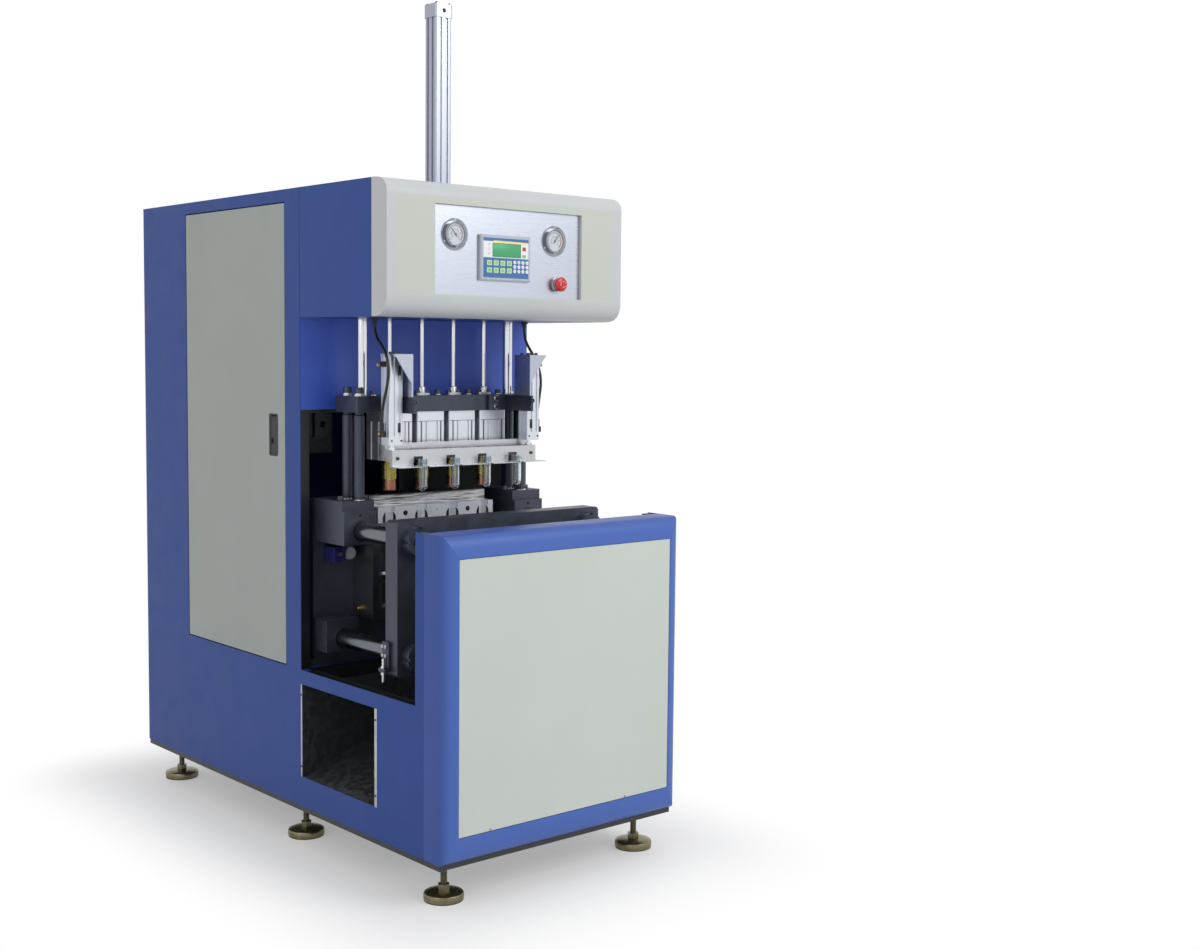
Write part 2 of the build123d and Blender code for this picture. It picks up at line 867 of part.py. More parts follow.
def gauge(x):
    """Pressure gauge case with its chrome flange, dial and needle stub."""
    face = plate_y
    back = face + gauge_case_depth
    dial = face - dial_depth
    lip = face - bezel_depth
    stub = dial - needle_lift - needle_thick
    flange_r = gauge_flange / 2
    bezel_r = gauge_bezel / 2
    points = [
        (0, back), (gauge_case / 2, back), (gauge_case / 2, face),
        (flange_r, face), (flange_r, face - sheet), (bezel_r, face - sheet),
        (bezel_r, lip + sheet), (bezel_r - sheet, lip), (gauge_dial / 2, lip + sheet),
        (gauge_dial / 2, dial), (gauge_stub / 2, dial), (gauge_stub / 2, stub), (0, stub),
    ]
    return turned_front(points, x, gauge_height)


def needle(x, lean):
    """Gauge needle with a hub, a point and a tail, leaning from upright by an angle."""
    y1 = plate_y - dial_depth - needle_lift
    root = needle_root / 2
    point = needle_point / 2
    outline = [(-root, -needle_tail), (root, -needle_tail), (point, needle_reach), (-point, needle_reach)]
    pointer = Polygon(*outline, align=None) + Circle(needle_hub / 2)
    face = Rot(0, 0, -lean) * pointer - Circle(gauge_stub / 2 + running_fit)
    return Pos(x, y1, gauge_height) * extrude(Plane.XZ * face, needle_thick, dir=(0, -1, 0))


def panel_case():
    """Housing of the control panel: a framed front and a body behind the plate."""
    w = screen_width / 2
    h = screen_height / 2
    y0 = plate_y - screen_depth
    case = block(screen_x - w, screen_x + w, y0, plate_y, screen_z - h, screen_z + h)
    case = chamfer(case.faces().sort_by(Axis.Y)[0].edges(), screen_edge)
    iw = w - screen_rim
    ih = h - screen_rim
    case -= block(screen_x - iw, screen_x + iw, y0, y0 + membrane, screen_z - ih, screen_z + ih)
    bw = iw - free_gap
    bh = ih - free_gap
    back = plate_y + gauge_case_depth
    return case + block(screen_x - bw, screen_x + bw, plate_y, back, screen_z - bh, screen_z + bh)


def key_membrane():
    """Front film of the control panel with raised keys and a screen window."""
    iw = screen_width / 2 - screen_rim - film_gap
    ih = screen_height / 2 - screen_rim - film_gap
    y0 = plate_y - screen_depth
    film = block(screen_x - iw, screen_x + iw, y0, y0 + membrane, screen_z - ih, screen_z + ih)
    half = key_width / 2
    high = key_height / 2
    for column in range(key_columns):
        x = screen_x - key_left + column * key_pitch
        for row in range(key_rows):
            z = screen_z - key_drop - row * key_lift
            film += block(x - half, x + half, y0 - key_rise, y0, z - high, z + high)
    for column in range(round_columns):
        x = screen_x + round_left + column * round_pitch
        for row in range(round_rows):
            z = screen_z - round_drop - row * round_lift
            film += disc_y(x, z, y0 - key_rise, y0, round_key)
    x0 = screen_x - window_left
    z0 = screen_z + window_rise
    return film - block(x0, x0 + window_width, y0, y0 + membrane / 2, z0, z0 + window_height)


def stop_collar_ring():
    """Collar of the stop button, clamped through the plate."""
    face = plate_y
    inner = stop_stem / 2 + running_fit
    outer = stop_stem / 2 + sheet
    tail = face + gauge_case_depth
    front = face - collar_rise
    rim = stop_collar / 2
    points = [(inner, front), (rim - rod_gap, front), (rim, front + rod_gap)]
    points += [(rim, face), (outer, face), (outer, tail), (inner, tail)]
    return turned_front(points, stop_x, stop_z)


def stop_knob():
    """Mushroom head and stem of the stop button."""
    under = plate_y - collar_rise - stop_stroke - rod_gap
    h = stop_head_depth
    top = under - h
    r = stop_head / 2
    stem = stop_stem / 2
    end = plate_y + gauge_case_depth / 2
    points = [(0, top), (r * 0.55, top + 0.06 * h), (r * 0.85, top + 0.23 * h), (r, top + 0.54 * h)]
    points += [(r, top + 0.8 * h), (r * 0.85, under), (stem, under), (stem, end), (0, end)]
    return turned_front(points, stop_x, stop_z)


# Stretching unit
def top_cylinder():
    """Barrel of the stretching cylinder with its base and end cap."""
    base = body_height + top_base_height
    end = body_height + top_length
    cap = top_bore_end
    barrel = Pos(0, cavity_y, 0) * grooved_square(top_barrel, base, cap)
    for z0, z1 in ((body_height, base), (cap, end)):
        barrel += extrude(Pos(0, cavity_y, z0) * RectangleRounded(top_cap, top_cap, corner_round), z1 - z0)
    stop = cap - top_piston - stretch_stroke - 2 * free_gap
    barrel -= disc_z(0, cavity_y, stop, cap, top_bore)
    barrel -= disc_z(0, cavity_y, body_height, stop, top_rod + 2 * running_fit)
    face = cavity_y - top_cap / 2
    return barrel - disc_y(0, end - top_cap_height / 2, face, face + top_port, top_port)


def stretch_ram():
    """Piston and rod of the stretching cylinder."""
    top = top_bore_end - free_gap
    ram = disc_z(0, cavity_y, crossbar_top, top, top_rod)
    return ram + disc_z(0, cavity_y, top - top_piston, top, top_bore - 2 * running_fit)


def stretch_crossbar():
    """Moving bar that carries the stretch rods, with hubs on the guide rods."""
    z0 = crossbar_top - crossbar_height
    half = crossbar_width / 2
    reach = crossbar_depth / 2
    bar = block(-half, half, cavity_y - reach, cavity_y + reach, z0, crossbar_top)
    bar = fillet(bar.edges().filter_by(Axis.Z), platen_round)
    low = hub_middle - hub_height / 2
    high = hub_middle + hub_height / 2
    for x in (-guide_x, guide_x):
        bar += disc_z(x, cavity_y, low, high, hub_diameter)
        bar -= disc_z(x, cavity_y, low, high, guide_diameter + 2 * running_fit)
    for x in cavities:
        bar -= disc_z(x, cavity_y, z0, crossbar_top, rod_diameter)
    return bar


def stretch_rod(x):
    """Stretch rod with a rounded tip and the collar that stops it on the crossbar."""
    r = rod_diameter / 2
    tip = nozzle_bottom + rod_tip
    top = crossbar_top + rod_stop_height
    points = [(0, tip), (r * 0.6, tip + r * 0.2), (r, tip + r), (r, crossbar_top), (rod_stop, crossbar_top)]
    points += [(rod_stop, top), (0, top)]
    return turned(points, x, cavity_y)


def guide_rod(x):
    """Fixed guide rod between the cylinder bar and the head's beam."""
    return disc_z(x, cavity_y, bar_top, roof_z - head_beam, guide_diameter)


# Blowing station
def cylinder_bar():
    """Black bar that carries the blow cylinders, bored for the stretch rods."""
    half = bar_width / 2
    bar = block(-half, half, bar_front, bar_front + bar_depth, bar_bottom, bar_top)
    bar = chamfer(bar.edges().filter_by(Axis.Z), bar_edge)
    for x in cavities:
        bar -= disc_z(x, cavity_y, bar_bottom, bar_top, rod_diameter + 2 * rod_gap)
    return bar


def bar_column(x, y):
    """Column between a bearing block and the cylinder bar, with turned necks."""
    r = column_diameter / 2
    neck = r - column_step
    full = column_neck + column_step
    z0 = tier_top
    z1 = bar_bottom
    points = [(0, z0), (neck, z0), (neck, z0 + column_neck), (r, z0 + full)]
    points += [(r, z1 - full), (neck, z1 - column_neck), (neck, z1), (0, z1)]
    return turned(points, x, y)


def rod_collar(x):
    """Guide collar of a stretch rod on top of the bar."""
    outer = collar_diameter / 2
    inner = rod_diameter / 2 + free_gap
    top = bar_top + collar_height
    body = outer - collar_step
    foot = bar_top + collar_foot
    points = [(inner, bar_top), (outer, bar_top), (outer, foot), (body, foot + sheet)]
    points += [(body, top - sheet), (body - sheet, top), (inner, top)]
    return turned(points, x, cavity_y)


def blow_cylinder(x):
    """Square cylinder barrel with a plain upper cap, hung under the bar."""
    bore_floor = blow_top - blow_piston - nozzle_stroke - 2 * free_gap
    barrel = Pos(x, cavity_y, 0) * grooved_square(blow_size, blow_bottom, blow_top)
    cap = Pos(x, cavity_y, blow_top) * RectangleRounded(blow_size, blow_size, corner_round)
    barrel += extrude(cap, blow_cap, dir=(0, 0, 1))
    barrel -= disc_z(x, cavity_y, bore_floor, blow_top, blow_bore)
    barrel -= disc_z(x, cavity_y, blow_bottom, bore_floor, blow_rod + 2 * running_fit)
    return barrel - disc_z(x, cavity_y, blow_top, bar_bottom, rod_diameter + 2 * rod_gap)


def blow_nozzle(x):
    """Hollow piston rod and the brass nozzle that seals on the preform."""
    bore = rod_diameter / 2 + rod_gap
    top = blow_top - free_gap
    under = top - blow_piston
    piston = blow_bore / 2 - running_fit
    rod = blow_rod / 2
    groove = nozzle_bottom + nozzle_groove_base
    shoulder = groove + nozzle_groove_height
    upper = nozzle_upper / 2
    lower = nozzle_lower / 2
    step = nozzle_groove / 2
    edge = upper - step
    points = [
        (bore, top), (piston, top), (piston, under), (rod, under), (rod, nozzle_top),
        (upper, nozzle_top), (upper, shoulder), (step, shoulder), (step, groove), (lower, groove),
        (lower, nozzle_bottom + edge), (lower - edge, nozzle_bottom),
        (neck_diameter / 2 - rod_gap, nozzle_bottom), (bore, nozzle_bottom + nozzle_cone),
    ]
    return turned(points, x, cavity_y)


# Preform loader
def loader_arm():
    """Left arm: an angle bolted on the front of the bar that reaches forward beside the cylinder."""
    x0 = -arm_x
    front = loader_y - loader_size / 2 - arm_nose
    foot_face = bar_front - arm_foot_plate
    arm = block(x0, x0 + arm_plate, front, bar_front, bar_bottom, bar_top)
    return arm + block(x0, x0 + arm_plate + arm_foot, foot_face, bar_front, bar_bottom, bar_top)


def loader_bracket():
    """Left bracket: a side plate standing on the arm, a top plate and a gusset across the front."""
    x0 = -arm_x
    x1 = x0 + bracket_side
    outer = -loader_x - loader_size / 2
    reach = loader_size / 2
    front = loader_y - reach - bracket_nose
    back = loader_y + reach
    bracket = block(x0, x1, front, back, bar_top, loader_top)
    bracket += block(outer, x1, front, back, loader_top, loader_top + bracket_plate)
    gusset = [(x0, loader_top), (outer + gusset_thick, loader_top), (x0, loader_top - gusset_drop)]
    face = Plane.XZ.offset(-front) * Polygon(*gusset, align=None)
    return bracket + extrude(face, gusset_thick, dir=(0, 1, 0))


def loader_cylinder(x):
    """Slim profile cylinder of the loader with its lower cap."""
    z0 = loader_top - loader_length
    neck = z0 + loader_cap
    barrel = Pos(x, loader_y, 0) * grooved_square(loader_size, neck, loader_top)
    cap = Pos(x, loader_y, z0) * RectangleRounded(loader_size, loader_size, corner_round)
    barrel += extrude(cap, loader_cap, dir=(0, 0, 1))
    stop = loader_bore_end - loader_piston - loader_stroke - 2 * free_gap
    barrel -= disc_z(x, loader_y, stop, loader_bore_end, loader_bore)
    return barrel - disc_z(x, loader_y, z0, stop, loader_rod + 2 * running_fit)


def loader_rod_piece(x):
    """Piston rod of a loader cylinder, screwed into the beam's end block."""
    top = loader_bore_end - free_gap
    rod = disc_z(x, loader_y, beam_top, top, loader_rod)
    return rod + disc_z(x, loader_y, top - loader_piston, top, loader_bore - 2 * running_fit)


def loader_beam():
    """Beam of the loader: notched front plate, back rail, end blocks and the strip for the necks."""
    half = beam_width / 2
    back = cavity_y - rail_back_setback
    beam = block(-half, half, beam_y, beam_y + beam_plate, beam_bottom, beam_top)
    rail_z = beam_top + rail_back_rise - rail_back_height
    beam += block(-half, half, back - rail_back_depth, back, rail_z, rail_z + rail_back_height)
    for x in (-half, half - end_block):
        beam += block(x, x + end_block, beam_y, back, rail_z, beam_top)
    plate_back = beam_y + beam_plate
    reach = notch_width / 2
    for x in cavities:
        beam -= block(x - reach, x + reach, beam_y, plate_back, beam_bottom, beam_bottom + notch_height)
    front = beam_y - strip_reach
    low = beam_bottom - strip_thick
    strip = block(-half, half + strip_tail, front, plate_back, low, beam_bottom)
    slot = preform_neck + 2 * rod_gap
    for x in cavities:
        strip -= disc_z(x, preform_y, low, beam_bottom, slot)
        strip -= block(x - slot / 2, x + slot / 2, front, preform_y, low, beam_bottom)
    return beam + strip


def preform(x):
    """Hollow preform: threaded neck, support ring and a rounded body, hung by its ring."""
    ring = beam_bottom
    top = ring + preform_neck_height
    neck = preform_neck / 2
    body = preform_body / 2
    bottom = ring - preform_length
    wall = preform_wall
    above = ring + preform_ring_thick
    rim = preform_ring / 2
    outer = [(neck, top), (neck, above), (rim, above), (rim, ring), (neck, ring)]
    outer += [(body, ring - preform_taper), (body, bottom + body)]
    outer += [(body * 0.87, bottom + body * 0.5), (body * 0.5, bottom + body * 0.13), (0, bottom)]
    inner_body = body - wall
    inner = [(0, bottom + wall), (inner_body * 0.7, bottom + wall + body * 0.3)]
    inner += [(inner_body, bottom + body), (inner_body, top)]
    return turned(outer + inner, x, preform_y)


# Clamp
def bottle_cutter(x):
    """Form of one bottle, used to cut both halves of a cavity."""
    r = bottle_diameter / 2
    n = neck_diameter / 2
    base = mould_top - bottle_shoulder - bottle_height
    shoulder = mould_top - bottle_shoulder
    waist_r = r - waist_depth
    low = base + waist_start
    high = low + waist_length
    rise = bottle_shoulder / 3
    points = [(0, base + waist_depth), (r * 0.77, base), (r, base + 2 * waist_depth)]
    points += [(r, low), (waist_r, low + 2 * waist_depth), (waist_r, high - 2 * waist_depth), (r, high)]
    points += [(r, shoulder - bottle_shoulder), (r * 0.82, shoulder - rise / 2)]
    points += [(n * 1.2, shoulder + 1.4 * rise), (n, shoulder + 2 * rise), (n, neck_top), (0, neck_top)]
    return turned(points, x, cavity_y)


def rear_mould():
    """Fixed half of the mould with four half cavities."""
    half = mould_width / 2
    mould = block(-half, half, cavity_y, rear_platen_y, mould_bottom, mould_top)
    for x in cavities:
        mould -= bottle_cutter(x)
    return mould


def front_mould():
    """Moving half of the mould, with its own neck plate."""
    half = mould_width / 2
    mould = block(-half, half, front_platen_back, front_mould_back, mould_bottom, mould_top)
    neck = neck_width / 2
    y0 = front_mould_back - neck_depth
    mould += block(-neck, neck, y0, front_mould_back, mould_top, mould_top + front_neck_height)
    for x in cavities:
        mould -= Pos(0, front_mould_back - cavity_y, 0) * bottle_cutter(x)
    return mould


def neck_plate():
    """Plate on the fixed mould half that holds the preform necks."""
    half = neck_width / 2
    plate = block(-half, half, cavity_y, cavity_y + neck_depth, mould_top, neck_top)
    for x in cavities:
        plate -= bottle_cutter(x)
        plate -= disc_z(x, cavity_y, ring_z, neck_top, preform_ring + ring_room)
    return plate


def lock_bar():
    """Bright bar bolted on the neck plate."""
    half = lock_bar_width / 2
    y0 = cavity_y + lock_bar_setback
    bar = block(-half, half, y0, y0 + lock_bar_depth, neck_top, neck_top + lock_bar_height)
    return chamfer(bar.edges().filter_by(Axis.X).group_by(Axis.Z)[-1], bar_edge)


def rear_platen():
    """Fixed platen on the bed rails, bored for the tie bars."""
    half = platen_width / 2
    y1 = rear_platen_y + rear_platen_depth
    plate = block(-half, half, rear_platen_y, y1, rail_top, rear_platen_top)
    plate = fillet(plate.edges().filter_by(Axis.Y).group_by(Axis.Z)[-1], platen_round)
    foot = inner_x - post_width - free_gap
    plate += block(-foot, foot, rear_platen_y, y1, rail_top, rail_top + rail_depth)
    for x in (-tie_x, tie_x):
        for z in (tie_low, tie_high):
            plate -= disc_y(x, z, rear_platen_y, y1, tie_diameter + 2 * rod_gap)
    return plate


def bearing_block(side, high):
    """Bearing block of one tie bar; the upper ones are stepped to carry the columns."""
    x0 = side * tie_x - block_width / 2
    x1 = side * tie_x + block_width / 2
    z = tie_high if high else tie_low
    y0 = block_y if high else rear_platen_y - low_block_depth
    z1 = neck_top if high else z + block_width / 2
    piece = block(x0, x1, y0, rear_platen_y, z - block_drop, z1)
    if high:
        step = y0 + block_tier_setback
        piece += block(x0, x1, step, rear_platen_y, neck_top, tier_top)
    piece -= disc_y(side * tie_x, z, y0, rear_platen_y, tie_diameter + 2 * running_fit)
    return piece


def tie_bar(side, z):
    """Ground tie bar with turned ends that pass through the platen and the crosshead."""
    x = side * tie_x
    bar = disc_y(x, z, front_platen_back, crosshead_y, tie_diameter)
    bar += disc_y(x, z, front_platen_y - tie_nut_depth, front_platen_back, tie_neck)
    return bar + disc_y(x, z, crosshead_y, crosshead_y + crosshead_depth + tie_nut_depth, tie_neck)


def tie_nut_piece(side, z, y0):
    """Round slotted nut on a turned end of a tie bar."""
    x = side * tie_x
    nut = disc_y(x, z, y0, y0 + tie_nut_depth, tie_nut)
    nut -= disc_y(x, z, y0, y0 + tie_nut_depth, tie_neck + 2 * running_fit)
    for turn in range(4):
        cut = Pos(0, 0, tie_nut / 2) * Box(nut_slot, tie_nut_depth, nut_slot)
        nut -= Pos(x, y0 + tie_nut_depth / 2, z) * Rot(0, 90 * turn, 0) * cut
    return nut


def front_platen():
    """Thick moving platen with rounded top corners, bored for the turned ends."""
    half = platen_width / 2
    plate = block(-half, half, front_platen_y, front_platen_back, platen_bottom, platen_top)
    plate = fillet(plate.edges().filter_by(Axis.Y), platen_round)
    for x in (-tie_x, tie_x):
        for z in (tie_low, tie_high):
            plate -= disc_y(x, z, front_platen_y, front_platen_back, tie_neck)
    return plate


def crosshead():
    """Rear bar of the clamp that the ram pushes on, cut away at its corners."""
    half = crosshead_width / 2
    low = tie_low - crosshead_margin
    high = tie_high + crosshead_margin
    y1 = crosshead_y + crosshead_depth
    cut = tie_x - tie_nut
    waist = cut - crosshead_slope
    foot = low + crosshead_waist
    head = high - crosshead_waist
    lower = [(-half, low), (-cut, low), (-waist, foot), (waist, foot), (cut, low), (half, low)]
    upper = [(half, high), (cut, high), (waist, head), (-waist, head), (-cut, high), (-half, high)]
    face = Plane.XZ.offset(-y1) * Polygon(*lower, *upper, align=None)
    plate = extrude(face, crosshead_depth, dir=(0, -1, 0))
    for x in (-tie_x, tie_x):
        for z in (tie_low, tie_high):
            plate -= disc_y(x, z, crosshead_y, y1, tie_neck)
    return plate


def clamp_cylinder():
    """Clamp cylinder: square mounting flange, barrel and rear cap."""
    y0 = cylinder_y
    y1 = y0 + cylinder_length
    outer = cylinder_bore + 2 * cylinder_wall
    half = cylinder_flange / 2
    body = block(-half, half, y0, y0 + cylinder_cap, clamp_z - half, clamp_z + half)
    body += block(-half, half, y1 - cylinder_cap, y1, clamp_z - half, clamp_z + half)
    body = fillet(body.edges().filter_by(Axis.Y), platen_round)
    body += disc_y(0, clamp_z, y0, y1, outer)
    body -= disc_y(0, clamp_z, y0 + cylinder_cap, y1 - cylinder_cap, cylinder_bore)
    body -= disc_y(0, clamp_z, y1 - cylinder_cap, y1, ram_diameter + 2 * running_fit)
    corner = half - tie_rod
    for x in (-corner, corner):
        for z in (clamp_z - corner, clamp_z + corner):
            body += disc_y(x, z, y0 + cylinder_cap, y1 - cylinder_cap, tie_rod)
    return body


def clamp_ram():
    """Piston and ram of the clamp cylinder."""
    y0 = cylinder_y + cylinder_cap + free_gap
    ram = disc_y(0, clamp_z, y0, crosshead_y, ram_diameter)
    return ram + disc_y(0, clamp_z, y0, y0 + piston_depth, cylinder_bore - 2 * running_fit)


# Air, hoses and electrics
elbow_x = loader_x + loader_size / 2 + elbow_reach
elbow_z = loader_top - loader_length + port_height


def hose_route(side):
    """Points of an air hose from the elbow on its cylinder up to its fitting in the head.

    The left hose bows to the front, and the right one outwards and then behind its bracket.
    """
    low = elbow_z + elbow_rise
    rise = head_bottom - elbow_size - low
    front = hose_front_bow
    back = hose_setback
    if side < 0:
        steps = [(0, 0, 0), (0.08, 0, 0), (0.21, 0, -0.25 * front), (0.37, 0, -0.75 * front)]
        steps += [(0.51, 0, -front), (0.66, 0, -0.8 * front), (0.76, 0.3, -0.15 * front)]
        steps += [(0.89, 1, 0.67 * back), (1, 1, 0.67 * back)]
    else:
        steps = [(0, 0, 0), (0.08, 0, 0), (0.22, -0.4, 0), (0.4, -0.9, 0), (0.56, -1, 0.2 * back)]
        steps += [(0.71, -0.6, 0.6 * back), (0.83, 0.2, 0.9 * back), (0.93, 1, back), (1, 1, back)]
    points = []
    for height, inward, behind in steps:
        shift = inward * (hose_inset if inward > 0 else hose_side_bow)
        points.append((side * (elbow_x - shift), loader_y + behind, low + height * rise))
    return points


def hose(side):
    """Air hose: straight runs joined by arcs as large as the runs allow."""
    points = [Vector(*p) for p in hose_route(side)]
    radii = []
    for a, b, c in zip(points, points[1:], points[2:]):
        turn = radians((b - a).get_angle(c - b))
        shorter = min((b - a).length, (c - b).length)
        radii.append(0.45 * shorter / tan(turn / 2))
    path = FilletPolyline(*points, radius=radii)
    print("hose radii", [round(r) for r in radii], "length", round(path.length, 1))
    start = Plane(path @ 0, z_dir=path % 0)
    return sweep(start * Circle(hose_diameter / 2), path=path)


def hose_fitting(side):
    """Elbow on the cylinder's port and bulkhead fitting under the head, as two solids."""
    x = side * elbow_x
    z0 = elbow_z
    half = elbow_size / 2
    face = side * (loader_x + loader_size / 2)
    elbow = block(x - half, x + half, loader_y - half, loader_y + half, z0 - half, z0 + half)
    elbow += disc_x(loader_y, z0, min(face, x), max(face, x), fitting_barrel)
    elbow += disc_z(x, loader_y, z0, z0 + elbow_rise, fitting_barrel)
    route = hose_route(side)
    top = route[-1]
    bulkhead = disc_z(top[0], top[1], top[2], head_bottom, fitting_barrel)
    bulkhead += hexagon_z(top[0], top[1], head_bottom - fitting_nut_height, head_bottom, fitting_nut)
    return [elbow, bulkhead]


def air_tank():
    """Level air receiver with domed ends, on two saddles."""
    r = tank_diameter / 2
    end = half_width - tank_side
    floor = frame_top + floor_plate
    middle = floor + tank_lift + r
    dome = [(end - tank_dome, r), (end - 0.42 * tank_dome, 0.87 * r), (end - 0.15 * tank_dome, 0.5 * r)]
    points = [(-end, 0)] + [(-x, y) for x, y in reversed(dome)] + dome + [(end, 0)]
    tank = revolve(make_face(Polyline(*points, close=True)), axis=Axis.X)
    y = rear_y - tank_setback
    tank = Pos(0, y, middle) * tank
    saddle_x = end - saddle_inset
    reach = 0.7 * r
    saddle = block(saddle_x, saddle_x + saddle_plate, y - reach, y + reach, floor, middle - r / 2)
    return tank + saddle + mirror(saddle, about=Plane.YZ)


def electric_board():
    """Mounting board with rails and switchgear, on standoffs from the rear sheet."""
    y1 = rear_y - sheet - board_standoff
    half = board_width / 2
    top = board_bottom + board_height
    board = block(-half, half, y1 - sheet, y1, board_bottom, top)
    corner = half - board_edge
    for x in (-corner, corner):
        for z in (board_bottom + board_edge, top - board_edge):
            board += disc_y(x, z, y1, rear_y - sheet, standoff_diameter)
    face = y1 - sheet
    rail_y = face - mounting_rail_depth
    rail_half = half - rail_margin
    units = ((switch_depth, switch_height), (relay_depth, relay_height), (drive_depth, drive_height))
    lift = (board_height - unit_head) / len(units)
    for row, (depth, height) in enumerate(units):
        z0 = board_bottom + unit_base + row * lift
        low = z0 + (height - mounting_rail) / 2
        board += block(-rail_half, rail_half, rail_y, face, low, low + mounting_rail)
        for place in range(unit_count):
            x0 = -half + unit_margin + place * unit_pitch
            x1 = x0 + unit_pitch - unit_gap
            board += block(x0, x1, rail_y - depth, rail_y, z0, z0 + height)
    return board


# Parts list
door_left = door()
latch_left = latch()
bracket_left = loader_bracket()
arm_left = loader_arm()
feet = [piece for x, y in foot_places() for piece in (foot_pad(x, y), foot_stud(x, y))]
corners = [(side, z) for side in (-1, 1) for z in (tie_low, tie_high)]
nut_rows = (front_platen_y - tie_nut_depth, crosshead_y + crosshead_depth)
column_rows = (cavity_y - column_pitch / 2, cavity_y + column_pitch / 2)
column_places = [(x, y) for x in (-column_x, column_x) for y in column_rows]

parts = {
    "base_frame": base_frame(),
    "upper_frame": upper_frame(),
    "levelling_feet": group(feet),
    "left_side_sheet": group(side_sheet(True)),
    "right_side_sheet": group(mirror(piece, about=Plane.YZ) for piece in side_sheet(False)),
    "rear_sheet": rear_sheet(),
    "cabinet_roof": cabinet_roof(),
    "front_wall": front_wall(),
    "chute": chute(),
    "left_door": door_left,
    "right_door": mirror(door_left, about=Plane.YZ),
    "left_door_latch": latch_left,
    "right_door_latch": mirror(latch_left, about=Plane.YZ),
    "lower_cover": lower_cover(),
    "cover_panel": cover_panel(),
    "head_housing": head_housing(),
    "head_cover": head_cover(),
    "control_plate": control_plate(),
    "gauge_cases": group([gauge(gauge_left), gauge(gauge_right)]),
    "left_gauge_needle": needle(gauge_left, left_lean),
    "right_gauge_needle": needle(gauge_right, right_lean),
    "panel_case": panel_case(),
    "key_membrane": key_membrane(),
    "stop_collar": stop_collar_ring(),
    "stop_button": stop_knob(),
    "stretch_cylinder": top_cylinder(),
    "stretch_ram": stretch_ram(),
    "stretch_crossbar": stretch_crossbar(),
    "stretch_rods": group(stretch_rod(x) for x in cavities),
    "guide_rods": group(guide_rod(x) for x in (-guide_x, guide_x)),
    "cylinder_bar": group([cylinder_bar()] + both_sides(arm_left)),
    "bar_columns": group(bar_column(x, y) for x, y in column_places),
    "rod_collars": group(rod_collar(x) for x in cavities),
    "blow_cylinders": group(blow_cylinder(x) for x in cavities),
    "loader_brackets": group(both_sides(bracket_left)),
    "loader_cylinders": group(loader_cylinder(x) for x in (-loader_x, loader_x)),
    "loader_rods": group(loader_rod_piece(x) for x in (-loader_x, loader_x)),
    "loader_beam": loader_beam(),
    "preforms": group(preform(x) for x in cavities),
    "rear_platen": rear_platen(),
    "bearing_blocks": group(bearing_block(side, z == tie_high) for side, z in corners),
    "tie_bars": group(tie_bar(side, z) for side, z in corners),
    "tie_nuts": group(tie_nut_piece(side, z, y) for side, z in corners for y in nut_rows),
    "front_platen": front_platen(),
    "front_mould": front_mould(),
    "rear_mould": rear_mould(),
    "neck_plate": neck_plate(),
    "lock_bar": lock_bar(),
    "crosshead": crosshead(),
    "clamp_cylinder": clamp_cylinder(),
    "clamp_ram": clamp_ram(),
    "left_hose": hose(-1),
    "right_hose": hose(1),
    "hose_fittings": group(hose_fitting(-1) + hose_fitting(1)),
    "air_tank": air_tank(),
    "electric_board": electric_board(),
}
for number, x in enumerate(cavities, start=1):
    parts[f"blow_nozzle_{number}"] = blow_nozzle(x)

os.makedirs("parts", exist_ok=True)
for name, shape in parts.items():
    export_step(shape, f"parts/{name}.step")
print(len(parts), "parts written")
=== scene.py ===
import logging
from dataclasses import dataclass, field
from enum import Enum
from functools import cache
from itertools import product
from math import cos, pi, radians, sin
from typing import Iterable, Sequence

import bmesh
import bpy
from mathutils import Matrix, Vector


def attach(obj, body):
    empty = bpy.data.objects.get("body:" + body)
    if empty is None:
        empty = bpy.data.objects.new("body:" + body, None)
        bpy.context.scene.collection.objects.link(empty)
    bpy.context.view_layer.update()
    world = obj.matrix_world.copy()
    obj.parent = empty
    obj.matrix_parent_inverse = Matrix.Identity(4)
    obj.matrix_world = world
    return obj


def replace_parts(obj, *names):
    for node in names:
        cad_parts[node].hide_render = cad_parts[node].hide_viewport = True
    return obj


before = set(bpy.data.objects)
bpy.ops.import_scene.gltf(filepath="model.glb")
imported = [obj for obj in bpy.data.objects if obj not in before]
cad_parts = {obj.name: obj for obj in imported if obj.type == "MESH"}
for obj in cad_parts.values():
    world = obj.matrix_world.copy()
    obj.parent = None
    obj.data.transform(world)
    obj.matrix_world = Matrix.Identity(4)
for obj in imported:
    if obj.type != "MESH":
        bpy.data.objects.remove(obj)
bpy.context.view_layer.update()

# A semi-automatic stretch blow moulding machine, dressed for its portrait.
# Metres, X to the right, Y to the rear, Z up, as in the frame it is built on.

LOG = logging.getLogger("machine")
Pair = tuple[float, float]
Point = tuple[float, float, float]
Place = tuple[Point, Point]
Socket = bpy.types.NodeSocket
MACHINE = "machine"
CAVITIES = (-0.165, -0.055, 0.055, 0.165)
CAVITY_Y = -0.2285
SHARP = radians(32)
BOTH = (-1, 1)
CORNERS = tuple(product(BOTH, BOTH))
UP: Point = (0, 0, 1)
FRONT: Point = (0, -1, 0)
BACK: Point = (0, 1, 0)
LEFT: Point = (-1, 0, 0)
NOISE_MIDDLE: Pair = (0.3, 0.7)
NO_LIMIT = 9.0


class Axis(Enum):
    """Direction that a turned or extruded form runs along."""

    X = 0
    Y = 1
    Z = 2


